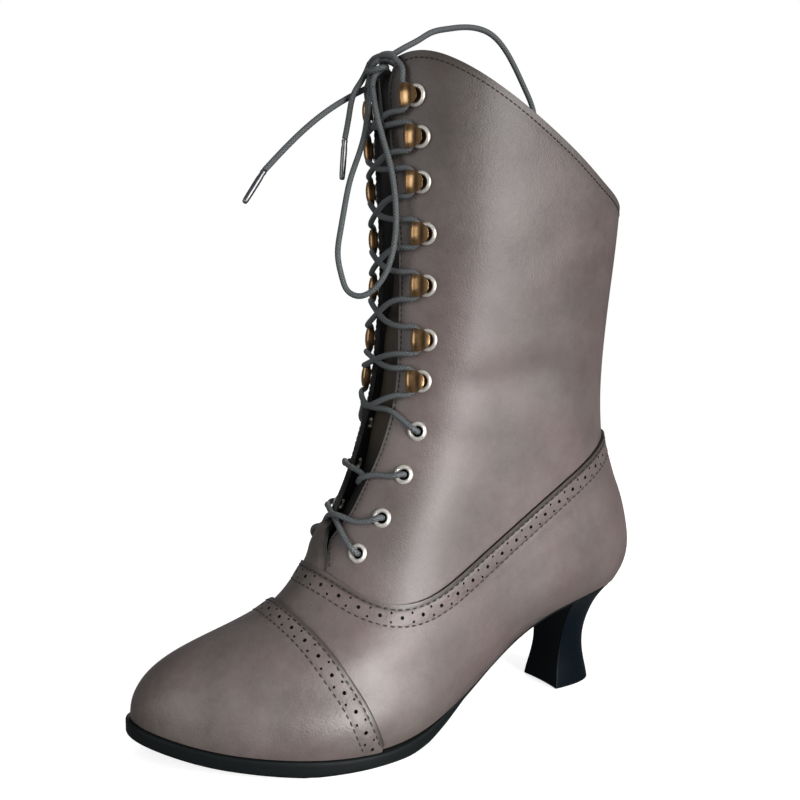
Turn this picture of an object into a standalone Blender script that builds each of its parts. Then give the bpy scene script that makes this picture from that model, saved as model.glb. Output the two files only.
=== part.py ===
"""Left lace-up ankle boot with a flared heel, modelled in metres with +Z up.

The toe points to -Y and the outer side of the foot to +X. The tables are in
millimetres: "along" is measured from the toe end towards the heel, "side" from
the middle line towards the outer side, and "height" from the floor.
"""
import bmesh
import bpy
import numpy as np
from mathutils import Matrix, Vector

MM = 0.001
ORIGIN_ALONG = 123.25
ORIGIN_SIDE = 0.8

# Driving sizes
WALL = 1.8
GAP = 0.3
GALOSH_THICK = 1.2
CAP_THICK = 1.2
CAP_GAP = 0.7
SOLE_EDGE_ROUND = 0.9
HEEL_SEAT = 46.0
INSOLE_THICK = 2.2
INSOLE_INSET = 3.0
TONGUE_THICK = 1.4
LACE = 2.5
AGLET = 2.7
HOOK_RADIUS = 4.7
HOOK_SHANK = (1.2, 6.0)
HOOK_BASE_SHIFT = 1.2
HOOK_PLATE = 0.9
HOOK_SLOT = 3.0
ON_LEATHER = 2.2
EYELET_BORE = 2.0
EYELET_FLANGE = 4.1

# Mesh fineness
COLUMNS = 36
LOWER_ROWS = 6
UPPER_ROWS = 10
CAP_COLUMNS = 22
CAP_ROWS = 12
TONGUE_COLUMNS = 7
TONGUE_ROWS = 11

# Girth levels of the last from the feather line up to the collar. Each one is a
# loop from a front point to a back point, with half-widths at three stations.
LEVEL_COLUMNS = ("front", "front_height", "back", "back_height", "nose_radius", "fore", "mid",
                 "heel", "back_radius", "sole_share", "swing_share", "collar_share")
LEVELS = np.array([
    (7.0, 16.5, 236.5, 50.0, 14.0, 34.0, 23.0, 23.5, 23.5, 1.00, 1.00, 0.00),
    (7.8, 23.0, 241.0, 58.0, 16.0, 36.5, 26.5, 27.5, 27.0, 0.97, 1.00, 0.00),
    (11.0, 29.2, 243.3, 67.0, 17.0, 36.0, 28.5, 29.5, 27.0, 0.90, 0.95, 0.00),
    (16.6, 34.5, 242.8, 76.0, 16.0, 33.5, 29.0, 29.5, 26.0, 0.80, 0.85, 0.00),
    (26.2, 39.7, 240.9, 86.0, 13.5, 32.0, 29.0, 29.0, 24.5, 0.65, 0.70, 0.00),
    (42.0, 45.2, 238.2, 95.0, 12.5, 30.5, 29.0, 28.5, 23.0, 0.50, 0.52, 0.00),
    (57.0, 51.5, 235.2, 103.0, 12.5, 30.0, 29.0, 27.5, 21.5, 0.36, 0.38, 0.00),
    (69.0, 61.5, 232.6, 111.0, 14.0, 29.5, 29.3, 27.0, 20.5, 0.25, 0.25, 0.00),
    (79.5, 76.0, 230.0, 119.0, 15.0, 29.3, 29.7, 26.5, 19.5, 0.15, 0.15, 0.00),
    (90.0, 95.5, 228.8, 128.0, 17.0, 29.5, 30.3, 26.0, 19.0, 0.07, 0.07, 0.00),
    (100.5, 117.0, 228.2, 138.0, 20.0, 29.5, 31.0, 25.5, 18.5, 0.02, 0.02, 0.00),
    (107.5, 140.0, 228.2, 151.0, 24.0, 30.5, 32.0, 25.5, 18.5, 0.00, 0.00, 0.00),
    (111.5, 170.0, 229.3, 170.0, 27.0, 33.0, 34.5, 26.5, 20.0, 0.00, 0.00, 0.05),
    (112.3, 205.0, 231.0, 190.0, 28.0, 35.5, 37.5, 28.5, 22.0, 0.00, 0.00, 0.20),
    (110.5, 245.0, 232.8, 209.0, 29.0, 38.0, 40.0, 30.5, 24.5, 0.00, 0.00, 0.55),
    (110.0, 284.0, 234.0, 227.2, 30.0, 39.5, 41.5, 32.0, 27.0, 0.00, 0.00, 1.00),
])
STATIONS = (0.0, 0.3, 0.6, 0.85, 1.0)

# Profiles, each a short table of (place, value)
SOLE_TOP = ((0, 17.5), (10, 15), (22, 12), (36, 9.4), (55, 7.4), (71, 6.3), (87, 5.8), (100, 6.2),
            (114, 8.5), (128, 13), (140, 18.3), (158, 28.6), (179, 39.8), (203, 47.6), (220, 51), (240, 52.6))
SOLE_THICK = ((0, 6.4), (36, 6.4), (58, 7.0), (64, 6.4), (95, 5.9), (104, 6.4), (114, 6.3), (126, 4.6),
              (136, 2.6), (150, 2.2), (180, 2.3), (240, 2.4))
SOLE_LEDGE = ((0, 5.2), (30, 5.0), (60, 4.3), (85, 4.5), (110, 3.3), (130, 1.5), (150, 0.9), (180, 0.5),
              (200, 0.2), (240, -0.2))
FLAT_FROM, FLAT_TO = 62.0, 95.0
MIDDLE_LINE = ((0, -14), (0.05, -11), (0.15, -5.5), (0.24, 0), (0.35, 4), (0.45, 4.5), (0.56, 3.5),
               (0.7, 1.5), (0.85, 0), (1, 0))
COLLAR_RISE = ((0, 0), (0.03, 4), (0.07, 6.5), (0.14, 6.8), (0.28, 4.6), (0.38, 2.9), (0.5, 0.5), (0.64, -2.8),
               (0.74, -4.9), (0.82, -4.8), (0.95, -2.4), (1, 0))
GALOSH_EDGE = ((70, 76), (80, 72.5), (86, 68), (94, 63), (104, 60.5), (118, 61.7), (138, 71.7), (164, 88.5),
               (187, 103.8), (210, 117), (222, 122.5), (240, 126))
CAP_EDGE = ((0, 89), (6, 88.2), (15, 85), (26.6, 80.5), (41, 74), (51, 68.5), (58, 64), (64, 60))

# The throat by front height: half of its opening, and how far its middle is off the middle line
THROAT = ((84, 0.0, 4.0), (88, 1.8, 3.2), (94, 5.6, 2.0), (104, 8.0, 0.8), (116, 9.6, 0.2), (138, 11.4, 0),
          (150, 11.6, 0), (170, 10.7, 0), (205, 10.3, 0), (228, 9.6, 0), (248, 8.2, 0), (268, 7.0, 0),
          (277, 8.0, 0), (284, 12.0, 0))
TONGUE = ((64, 15.0, 2.3), (80, 17.0, 4.0), (100, 19.0, 5.6), (150, 21.0, 5.0), (190, 21.5, 5.8),
          (220, 22.0, 6.6), (281, 22.0, 6.2))
# How far the inner quarter is set back at the throat by front height
INNER_SET = ((60, 0), (72, -1.0), (80, -1.7), (88, -1.0), (96, -0.4), (106, -0.6), (118, -1.4), (132, -1.2),
             (142, -0.3), (170, 0.5), (191, 1.8), (212, 2.4), (233, 2.4), (250, 2.2), (284, 1.9))
INNER_FULL, INNER_FROM, INNER_TO = 0.12, 0.17, 0.45

# Heel rings from the floor to the seat: height, breast, back and half-width
HEEL = ((0, 199.4, 226.2, 12.8), (3, 199.9, 225.6, 12.4), (10, 201.2, 224.0, 11.1),
        (19, 203.0, 223.0, 10.4), (27, 203.8, 224.2, 11.4), (35, 203.7, 227.4, 14.2),
        (41, 203.0, 231.3, 17.8), (46, 202.0, 236.4, 21.8))
HEEL_POINTS = 17
HEEL_FULLNESS = 2.5

# Lacing by front height and distance from the middle line
EYELETS = ((79.0, 17.5), (93.0, 20.4), (110.9, 22.3), (129.5, 23.3))
HOOKS = ((151.2, 20.6), (168.7, 21.6), (191.4, 20.6), (212.6, 20.8), (233.1, 19.6), (250.7, 19.9),
         (266.7, 18.2))

# Runs of the lace between eyelets, as (front height, side, lift) over the leather
EYELET_LEAN = {1: (50, -8, -3, 40), -1: (70, -8, -3, 75)}
CROSS_OVER = ((92.1, 12.2, 2.2), (93.4, 8.0, 2.6), (93.9, 3.4, 3.0), (93.2, -1.5, 2.4), (91.4, -6.5, 1.8),
              (88.2, -12.0, 1.8))
CROSS_UNDER = ((88.7, 8.3, 1.9), (91.4, 4.8, 1.3), (93.6, 0.0, 0.7), (95.0, -5.5, 1.6), (95.4, -10.0, 2.2))
TUCK_OUTER = ((111.2, 13.2, 2.2), (110.6, 9.4, 1.9), (109.8, 6.8, 1.2), (108.6, 4.0, -1.2))
TUCK_INNER = ((114.0, -12.5, 2.3), (113.8, -7.5, 1.8), (113.3, -1.2, 1.0), (112.3, 4.2, -0.2),
              (110.8, 7.0, -0.8))
FIRST_RUN = {1: ((138.4, 12.5, 2.2),), -1: ((139.0, -18.5, 1.9), (140.8, -12.0, 1.7))}

# Free ends of the lace: hand-placed points (side, along, height)
KNOT_AT = (4.0, 107.7, 281.2)
KNOT_SIZE = (5.5, 4.0, 5.0)
LACE_END_OUTER = ((16.9, 112.0, 279.0), (13.7, 110.5, 283.8))
LACE_END_INNER = ((-12.5, 111.0, 276.5), (-6.0, 110.0, 279.5))
BACK_LOOP = ((6.8, 112.6, 287.2), (8.0, 118.5, 291.0), (8.0, 124.7, 294.6), (8.0, 130.6, 298.4),
             (7.0, 139.5, 301.6), (6.0, 149.3, 304.0), (5.0, 164.2, 303.2), (4.0, 176.8, 292.6),
             (3.0, 184.5, 282.3), (2.0, 189.9, 274.0), (0.0, 192.0, 262.0), (-4.0, 187.5, 250.0),
             (-8.0, 174.0, 244.0), (-10.0, 158.0, 247.0), (-9.0, 143.0, 256.0), (-6.0, 131.0, 268.0),
             (-2.0, 122.6, 282.2), (1.0, 116.8, 285.6), (2.6, 113.2, 285.8))
FRONT_LOOP = ((1.0, 105.6, 274.6), (0.0, 105.4, 270.3), (-1.0, 104.4, 258.0), (-2.0, 101.8, 247.5),
              (-2.5, 97.6, 235.8), (-3.0, 96.0, 228.3), (-3.0, 93.2, 214.4), (-2.0, 91.5, 204.7),
              (-1.0, 93.0, 195.0), (1.0, 94.6, 189.6), (5.0, 98.0, 187.4), (10.0, 103.3, 191.1),
              (15.0, 107.2, 201.4), (17.0, 108.9, 216.4), (16.5, 108.7, 228.6), (14.0, 107.8, 241.4),
              (11.0, 106.2, 251.8), (8.0, 104.5, 263.5), (4.6, 104.7, 273.6))
END_LONG = ((-3.5, 106.3, 275.2), (-8.5, 102.3, 272.8), (-9.5, 92.0, 266.2), (-11.0, 78.3, 254.7),
            (-12.0, 63.0, 238.9))
END_SHORT = ((-2.0, 107.0, 285.3), (-3.5, 104.0, 278.2), (-4.5, 101.0, 273.1), (-7.0, 99.6, 263.7),
             (-8.5, 98.3, 254.2))
AGLET_LONG_TO = (-13.0, 54.3, 225.2)
AGLET_SHORT_TO = (-10.0, 97.6, 237.1)


def spline(table):
    """A natural cubic spline through a table of (place, value...), as a function of place."""
    table = np.asarray(table, float)
    knots, values = table[:, 0], table[:, 1:]
    step = np.diff(knots)
    matrix = np.eye(len(knots))
    right = np.zeros_like(values)
    for i in range(1, len(knots) - 1):
        matrix[i, i - 1:i + 2] = step[i - 1], 2 * (step[i - 1] + step[i]), step[i]
        after = (values[i + 1] - values[i]) / step[i]
        before = (values[i] - values[i - 1]) / step[i - 1]
        right[i] = 6 * (after - before)
    bend = np.linalg.solve(matrix, right)

    def at(place):
        place = np.asarray(place, float)
        i = np.clip(np.searchsorted(knots, place, side="right") - 1, 0, len(knots) - 2)
        before = (place - knots[i])[..., None]
        after = (knots[i + 1] - place)[..., None]
        width = step[i][..., None]
        curve = (bend[i] * after ** 3 + bend[i + 1] * before ** 3) / (6 * width)
        low = (values[i] / width - bend[i] * width / 6) * after
        high = (values[i + 1] / width - bend[i + 1] * width / 6) * before
        found = curve + low + high
        return found[..., 0] if values.shape[1] == 1 else found

    return at


def level_places():
    """Where each level lies between feather line and collar, by the mean rise of its two ends."""
    front = np.hypot(np.diff(LEVELS[:, 0]), np.diff(LEVELS[:, 1]))
    back = np.hypot(np.diff(LEVELS[:, 2]), np.diff(LEVELS[:, 3]))
    places = np.concatenate([[0.0], np.cumsum(front + back)])
    return places / places[-1]


level_at = spline(np.column_stack([level_places(), LEVELS]))
sole_top = spline(SOLE_TOP)
sole_ledge = spline(SOLE_LEDGE)
middle_line = spline(MIDDLE_LINE)
collar_rise = spline(COLLAR_RISE)
galosh_height = spline(GALOSH_EDGE)
cap_along = spline(CAP_EDGE)
throat_at = spline(THROAT)
tongue_at = spline(TONGUE)
inner_set = spline(INNER_SET)


def sole_bottom(along):
    """Height of the tread, flat on the floor under the ball of the foot."""
    along = np.asarray(along, float)
    low = sole_top(along) - np.interp(along, *np.transpose(SOLE_THICK))
    low = np.where((along >= FLAT_FROM) & (along <= FLAT_TO), 0.0, low)
    return np.maximum(low, 0.0)


def set_share(turn):
    """How much of the inner quarter's set a turn gets: all beside the throat, none at the back."""
    near = np.clip(turn / INNER_FULL, 0, 1)
    far = np.clip((turn - INNER_FROM) / (INNER_TO - INNER_FROM), 0, 1)
    return near * near * (3 - 2 * near) * (1 - far * far * (3 - 2 * far))


def last(turn, rise):
    """Point of the last as (side, along, height).

    turn runs from 0 at the front to 1 at the back by the outer side and to -1 by the
    inner side; rise runs from 0 at the feather line to 1 at the collar.
    """
    turn, rise = np.broadcast_arrays(np.asarray(turn, float), np.asarray(rise, float))
    turn = (turn + 1) % 2 - 1
    level = dict(zip(LEVEL_COLUMNS, np.moveaxis(level_at(rise), -1, 0)))
    angle = np.pi * np.abs(turn)
    share = (1 - np.cos(angle)) / 2
    length = level["back"] - level["front"]
    fullness = [2 * level["nose_radius"] / length]
    for name, station in zip(("fore", "mid", "heel"), STATIONS[1:4]):
        fullness.append(level[name] ** 2 / (length ** 2 * station * (1 - station)))
    fullness.append(2 * level["back_radius"] / length)
    blend = 0
    for i, here in enumerate(STATIONS):
        weight = 1
        for other in STATIONS[:i] + STATIONS[i + 1:]:
            weight = weight * (share - other) / (here - other)
        blend = blend + fullness[i] * weight
    width = length / 2 * np.sin(angle) * np.sqrt(np.maximum(blend, 1e-4))
    base = LEVELS[0]
    chord = base[1] + (base[3] - base[1]) * share
    arch = sole_top(base[0] + (base[2] - base[0]) * share) - chord
    along = level["front"] + length * share
    height = level["front_height"] + (level["back_height"] - level["front_height"]) * share
    height = height + level["sole_share"] * arch + level["collar_share"] * collar_rise(share)
    side = np.sign(turn) * width + level["swing_share"] * middle_line(share)
    along = along + np.where(turn < 0, inner_set(np.clip(level["front_height"], 60, 284)), 0) * set_share(-turn)
    return np.stack([side, along, height], -1)


def outward(turn, rise, step=1e-3):
    """Way out of the last that clears it by one.

    It is level at the feather line, so that nothing dips into the sole.
    """
    rise = np.asarray(rise, float)
    across = last(turn + step, rise) - last(turn - step, rise)
    up = last(turn, np.clip(rise + step, 0, 1)) - last(turn, np.clip(rise - step, 0, 1))
    normal = np.cross(across, up)
    normal /= np.linalg.norm(normal, axis=-1, keepdims=True)
    level = normal.copy()
    level[..., 2] *= np.where(level[..., 2] < 0, np.clip(rise / 0.05, 0, 1), 1)
    level /= np.linalg.norm(level, axis=-1, keepdims=True)
    return level / np.maximum(np.sum(level * normal, axis=-1, keepdims=True), 0.6)


def skin(turn, rise, lift):
    """Point at a distance lift outside the last, resting on the sole at the feather line."""
    base = last(turn, rise)
    point = base + lift * outward(turn, rise)
    fade = np.clip(1 - np.asarray(rise, float) / 0.05, 0, 1)
    point[..., 2] += fade * (sole_top(point[..., 1]) - sole_top(base[..., 1]))
    return point


def rise_where(test, turn, low, high):
    """The rise in each column at which test(point) changes from below to above zero."""
    low, high = np.full(np.shape(turn), low), np.full(np.shape(turn), high)
    for _ in range(40):
        middle = (low + high) / 2
        above = test(last(turn, middle)) > 0
        high = np.where(above, middle, high)
        low = np.where(above, low, middle)
    return (low + high) / 2


def galosh_rise(turn):
    return rise_where(lambda point: point[..., 2] - galosh_height(point[..., 1]), turn, 0.03, 0.8)


def cap_rise(turn):
    return rise_where(lambda point: point[..., 1] - cap_along(point[..., 2]), turn, 0.0, 0.5)


def rise_of(front_height):
    """The level whose front point has this height."""
    rises = np.linspace(0, 1, 2001)
    return np.interp(front_height, level_at(rises)[:, 1], rises)


def turn_of(side, rise):
    """The turn of a place near the front that lies this far from the middle line."""
    level = level_at(rise)
    length = level[..., 2] - level[..., 0]
    return side / (np.pi * np.sqrt(level[..., 4] * length / 2))


def throat_edges(rise):
    """Turns of the outer and the inner edge of the throat at a level."""
    height = level_at(rise)[..., 1]
    half, middle = np.moveaxis(throat_at(np.clip(height, THROAT[0][0], THROAT[-1][0])), -1, 0)
    half = np.maximum(half, 0)
    return turn_of(middle + half, rise), turn_of(middle - half, rise)


def metres(points):
    """Points (side, along, height) in millimetres as the part's own coordinates."""
    points = np.asarray(points, float)
    return (points - (ORIGIN_SIDE, ORIGIN_ALONG, 0)) * MM


def material(name, colour, roughness, metallic=0.0):
    made = bpy.data.materials.new(name)
    made.use_nodes = True
    shader = made.node_tree.nodes["Principled BSDF"]
    shader.inputs["Base Color"].default_value = (*colour, 1)
    shader.inputs["Roughness"].default_value = roughness
    shader.inputs["Metallic"].default_value = metallic
    return made


def put(name, data, look):
    """A named object in the boot's collection."""
    piece = bpy.data.objects.new(name, data)
    data.materials.append(look)
    bpy.data.collections["lace_up_ankle_boot"].objects.link(piece)
    return piece


def mesh_of(name, points, faces):
    """A mesh from points in millimetres, its doubles merged and its sides smooth."""
    mesh = bpy.data.meshes.new(name)
    mesh.from_pydata(metres(points).tolist(), [], faces)
    work = bmesh.new()
    work.from_mesh(mesh)
    bmesh.ops.remove_doubles(work, verts=work.verts, dist=0.00001)
    work.to_mesh(mesh)
    work.free()
    mesh.shade_smooth()
    return mesh


def grid_faces(rows, columns, closed=False):
    """Quads of a grid whose points are listed row by row."""
    faces = []
    for row in range(rows - 1):
        for column in range(columns if closed else columns - 1):
            after = (column + 1) % columns
            faces.append((row * columns + column, row * columns + after,
                          (row + 1) * columns + after, (row + 1) * columns + column))
    return faces


def sheet(name, points, rows, columns, thickness, look):
    """A wall of even thickness inside an open grid, split so that both its sides have the same diagonals."""
    faces = []
    for a, b, c, d in grid_faces(rows, columns):
        faces += [(a, b, c), (a, c, d)]
    piece = put(name, mesh_of(name, points.reshape(-1, 3), faces), look)
    solid = piece.modifiers.new("wall", "SOLIDIFY")
    solid.thickness = thickness * MM
    solid.offset = -1
    solid.use_even_offset = True
    return piece


def seam_turn():
    rise = rise_of(THROAT[0][0])
    return float(throat_edges(rise)[0])


def lower_grid():
    """Turns and rises from the feather line to the galosh edge, starting at the throat seam."""
    turn = seam_turn() + np.linspace(0, 2, COLUMNS + 1)
    edge = galosh_rise(turn)
    share = np.linspace(0, 1, LOWER_ROWS + 1)[:, None] ** 0.8
    return turn + 0 * share, edge * share


def upper_grid():
    """Turns and rises from the galosh edge to the collar, parted at the throat."""
    around = np.linspace(0, 1, COLUMNS + 1)
    edge = galosh_rise(seam_turn() + 2 * around)
    throat_share = (rise_of(THROAT[0][0]) - edge[0]) / (1 - edge[0])
    share = np.concatenate([[throat_share / 2], np.linspace(throat_share, 1, UPPER_ROWS)])[:, None]
    rise = edge + (1 - edge) * share
    outer, inner = throat_edges(rise)
    return outer + around * (2 + inner - outer), rise


def make_upper(look):
    lower_turn, lower_rise = lower_grid()
    upper_turn, upper_rise = upper_grid()
    turn = np.concatenate([lower_turn, upper_turn])
    rise = np.concatenate([lower_rise, upper_rise])
    upper = sheet("upper", last(turn, rise), len(turn), COLUMNS + 1, WALL, look)
    cut = upper.modifiers.new("eyelet holes", "BOOLEAN")
    cut.operation = "DIFFERENCE"
    cut.operand_type = "COLLECTION"
    cut.collection = bpy.data.collections["cutters"]
    cut.solver = "EXACT"
    return upper


def make_galosh(look):
    turn, rise = lower_grid()
    points = skin(turn, rise, GAP + GALOSH_THICK)
    return sheet("galosh", points, len(turn), COLUMNS + 1, GALOSH_THICK, look)


def make_toe_cap(look):
    reach = np.linspace(0, 0.6, 601)
    feather = last(reach, 0 * reach)
    end = np.interp(0, feather[:, 1] - cap_along(feather[:, 2]), reach)
    spread = np.radians(np.linspace(-80, 80, CAP_COLUMNS + 1))
    turn = end * np.sin(spread)
    share = np.linspace(0, 1, CAP_ROWS + 1)[:, None] ** 1.15
    rise = cap_rise(turn) * share
    lift = GAP + GALOSH_THICK + CAP_GAP + CAP_THICK
    points = skin(turn + 0 * share, rise, lift)
    return sheet("toe_cap", points, CAP_ROWS + 1, CAP_COLUMNS + 1, CAP_THICK, look)


def outline(count, grow):
    """Loop of the feather line pushed out by grow(along), from the front round by the outer side."""
    turn = (np.arange(count) + 0.5) * 2 / count
    edge = last(turn, 0 * turn)
    tangent = last(turn + 1e-3, 0 * turn) - last(turn - 1e-3, 0 * turn)
    normal = np.stack([-tangent[:, 1], tangent[:, 0]], -1)
    normal = -normal / np.linalg.norm(normal, axis=1, keepdims=True)
    edge[:, :2] += normal * np.asarray(grow(edge[:, 1]))[:, None]
    return edge


def slab(name, rings, look):
    """A solid between stacked loops, closed by ladders of rungs across its top and bottom."""
    count = len(rings[0])
    faces = grid_faces(len(rings), count, closed=True)
    last_ring = (len(rings) - 1) * count
    for rung in range(count // 2 - 1):
        quad = (rung, rung + 1, count - 2 - rung, count - 1 - rung)
        faces.append(quad[::-1])
        faces.append(tuple(last_ring + corner for corner in quad))
    return put(name, mesh_of(name, np.concatenate(rings), faces), look)


def make_outsole(look):
    rings = []
    edge = ((0.7, False, 0), (0, False, SOLE_EDGE_ROUND), (0, True, -SOLE_EDGE_ROUND), (0.7, True, -GAP))
    for inset, top, drop in edge:
        ring = outline(COLUMNS, lambda along: sole_ledge(along) - inset)
        along = ring[:, 1]
        high, low = sole_top(along) - GAP, sole_bottom(along)
        room = np.minimum(1, (high - low) / (3 * SOLE_EDGE_ROUND))
        ring[:, 2] = high + (drop + GAP) * room if top else low + drop * room
        rings.append(ring)
    return slab("outsole", rings, look)


def make_insole(look):
    rings = []
    for lift in (GAP, GAP + INSOLE_THICK):
        ring = outline(COLUMNS - 4, lambda along: 0 * along - INSOLE_INSET)
        ring[:, 2] = sole_top(ring[:, 1]) + lift
        rings.append(ring)
    return slab("insole", rings, look)


def make_heel(look):
    rings = []
    sweep = np.radians(np.linspace(90, -90, HEEL_POINTS))
    for height, breast, back, half in HEEL:
        side = half * np.sign(np.sin(sweep)) * np.abs(np.sin(sweep)) ** (2 / HEEL_FULLNESS)
        along = breast + (back - breast) * np.abs(np.cos(sweep)) ** (2 / HEEL_FULLNESS)
        seat = sole_bottom(along) - GAP
        rings.append(np.stack([side, along, seat * height / HEEL_SEAT], -1))
    faces = grid_faces(len(rings), HEEL_POINTS, closed=True)
    faces.append(tuple(range(HEEL_POINTS))[::-1])
    top = (len(rings) - 1) * HEEL_POINTS
    for rung in range(HEEL_POINTS // 2 - 1):
        across = (rung, rung + 1, HEEL_POINTS - 2 - rung, HEEL_POINTS - 1 - rung)
        faces.append(tuple(top + corner for corner in across))
    middle = HEEL_POINTS // 2
    faces.append((top + middle - 1, top + middle, top + middle + 1))
    return put("heel", mesh_of("heel", np.concatenate(rings), faces), look)


def make_tongue(look):
    height = np.linspace(TONGUE[0][0], TONGUE[-1][0], TONGUE_ROWS)[:, None]
    across = np.linspace(-1, 1, TONGUE_COLUMNS)
    half, depth = np.moveaxis(tongue_at(height), -1, 0)
    rise = rise_of(height)
    turn = turn_of(half * across, rise)
    points = skin(turn, rise + 0 * turn, -depth[..., None])
    return sheet("tongue", points, TONGUE_ROWS, TONGUE_COLUMNS, TONGUE_THICK, look)


def seat_frame(front_height, side, lift=0.0):
    """Matrix of a place on the upper: X towards the heel, Z outwards."""
    rise = rise_of(front_height)
    turn = turn_of(side, rise)
    normal = Vector(outward(turn, rise))
    ahead = Vector(np.sign(side) * (last(turn + 1e-3, rise) - last(turn - 1e-3, rise))).normalized()
    ahead = (ahead - normal * ahead.dot(normal)).normalized()
    place = Matrix((ahead, normal.cross(ahead), normal)).transposed().to_4x4()
    place.translation = Vector(metres(skin(turn, rise, lift)))
    return place


def lacing_places():
    """Names, sides and seats of the eyelets and hooks, bottom row first."""
    for kind, rows in (("eyelet", EYELETS), ("hook", HOOKS)):
        for row, (height, side) in enumerate(rows):
            for name, sign in (("outer", 1), ("inner", -1)):
                yield kind, f"{kind}_{name}_{row + 1}", seat_frame(height, sign * side)


def eyelet_mesh():
    """Profile of an eyelet, turned about Z by a Screw modifier."""
    bore, flange = EYELET_BORE, EYELET_FLANGE
    profile = ((bore, 1.2), (bore + 1.5, 1.3), (flange, 0.45), (bore + 0.35, 0.45), (bore + 0.3, -1.5))
    mesh = bpy.data.meshes.new("eyelet")
    edges = [(i, (i + 1) % len(profile)) for i in range(len(profile))]
    mesh.from_pydata([(radius * MM, 0, height * MM) for radius, height in profile], edges, [])
    return mesh


def hook_mesh():
    """A base disc and an outer plate joined by a shank on the throat side."""
    work = bmesh.new()
    outer = HOOK_PLATE + GAP + HOOK_SLOT
    for low, shift in ((GAP, HOOK_BASE_SHIFT), (outer, 0)):
        lift = Matrix.Translation((shift * MM, 0, (low + HOOK_PLATE / 2) * MM))
        bmesh.ops.create_cone(work, cap_ends=True, segments=8, radius1=HOOK_RADIUS * MM,
                              radius2=HOOK_RADIUS * MM, depth=HOOK_PLATE * MM, matrix=lift)
    discs = bpy.data.meshes.new("hook")
    work.to_mesh(discs)
    work.free()
    return discs


def shank_mesh():
    work = bmesh.new()
    tall = HOOK_SLOT + HOOK_PLATE
    middle = Matrix.Translation((-3.2 * MM, 0, (GAP + HOOK_PLATE / 2 + tall / 2) * MM))
    size = Matrix.Diagonal((HOOK_SHANK[0] * MM, HOOK_SHANK[1] * MM, tall * MM, 1))
    bmesh.ops.create_cube(work, size=1, matrix=middle @ size)
    mesh = bpy.data.meshes.new("shank")
    work.to_mesh(mesh)
    work.free()
    return mesh


def make_lacing_metal(eyelet_look, hook_look):
    cutters = bpy.data.collections["cutters"]
    shank = shank_mesh()
    for kind, name, place in lacing_places():
        if kind == "eyelet":
            piece = put(name, eyelet_mesh(), eyelet_look)
            turn = piece.modifiers.new("turn", "SCREW")
            turn.steps = turn.render_steps = 9
            turn.use_merge_vertices = True
            turn.merge_threshold = 0.00001
            bpy.ops.mesh.primitive_cylinder_add(vertices=12, radius=(EYELET_BORE + 0.65) * MM, depth=0.008)
            hole = bpy.context.object
            hole.name = name + "_hole"
            hole.matrix_world = place
            hole.hide_render = True
            hole.display_type = "WIRE"
            for home in hole.users_collection:
                home.objects.unlink(hole)
            cutters.objects.link(hole)
        else:
            piece = put(name, hook_mesh(), hook_look)
            bar = bpy.data.objects.new(name + "_shank", shank)
            bar.matrix_world = place
            bar.hide_render = True
            bar.display_type = "WIRE"
            bpy.data.collections["shanks"].objects.link(bar)
            join = piece.modifiers.new("shank", "BOOLEAN")
            join.operation = "UNION"
            join.object = bar
            join.solver = "EXACT"
        piece.matrix_world = place


def smooth_path(points, spacing):
    """Evenly spaced points of a smooth curve through hand-placed ones."""
    points = np.asarray(points, float)
    walked = np.concatenate([[0], np.cumsum(np.linalg.norm(np.diff(points, axis=0), axis=1))])
    curve = spline(np.column_stack([walked, points]))
    return curve(np.linspace(0, walked[-1], max(2, round(walked[-1] / spacing) + 1)))


def tube(name, points, diameter, look):
    """A cord or rod along points in millimetres."""
    data = bpy.data.curves.new(name, "CURVE")
    data.dimensions = "3D"
    data.bevel_depth = diameter / 2 * MM
    data.bevel_resolution = 2 if name.startswith(("lace_loop", "lace_end")) else 1
    data.use_fill_caps = True
    line = data.splines.new("POLY")
    line.points.add(len(points) - 1)
    for knot, place in zip(line.points, metres(points)):
        knot.co = (*place, 1)
    return put(name, data, look)


def as_mesh(piece):
    """The curve object as a mesh object of the same name, its caps welded on."""
    mesh = bpy.data.meshes.new_from_object(piece.evaluated_get(bpy.context.evaluated_depsgraph_get()))
    work = bmesh.new()
    work.from_mesh(mesh)
    bmesh.ops.remove_doubles(work, verts=work.verts, dist=0.00001)
    work.to_mesh(mesh)
    work.free()
    name, home = piece.name, piece.users_collection[0]
    bpy.data.objects.remove(piece)
    made = bpy.data.objects.new(name, mesh)
    home.objects.link(made)
    return made


def joined(first, second):
    """Two cords fused where they cross."""
    first, second = as_mesh(first), as_mesh(second)
    second.hide_render = True
    second.display_type = "WIRE"
    join = first.modifiers.new("crossing", "BOOLEAN")
    join.operation = "UNION"
    join.object = second
    join.solver = "EXACT"


def local(place, steps):
    """Points given in a seat's own millimetres (towards the heel, up, outwards) as (side, along, height)."""
    world = [place @ Vector(step) * 1000 for step in (np.asarray(steps) * MM).tolist()]
    return [(p.x + ORIGIN_SIDE, p.y + ORIGIN_ALONG, p.z) for p in world]


def over_eyelet(row, sign):
    """A cord's start: out of an eyelet and over its flange towards the throat, bottom row 0."""
    place = seat_frame(EYELETS[row][0], sign * EYELETS[row][1])
    lean = np.radians(EYELET_LEAN[sign][row])
    back, up = -np.cos(lean), sign * np.sin(lean)
    return local(place, [(0, 0, -1.0), (0, 0, 1.9), (1.4 * back, 1.4 * up, 2.9), (4.6 * back, 4.6 * up, 2.7)])


def round_hook(row, sign):
    """A cord's way round the shank of a hook, from below to above."""
    height, side = HOOKS[row]
    place = seat_frame(height, sign * side)
    up = sign
    route = ((-7.0, -5.7), (-2.4, -5.2), (-0.6, -3.0), (-0.6, 3.0), (-2.4, 5.2), (-7.0, 5.7))
    middle = GAP + HOOK_PLATE + HOOK_SLOT / 2
    return local(place, [(along, up * rise, middle) for along, rise in route])


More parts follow.
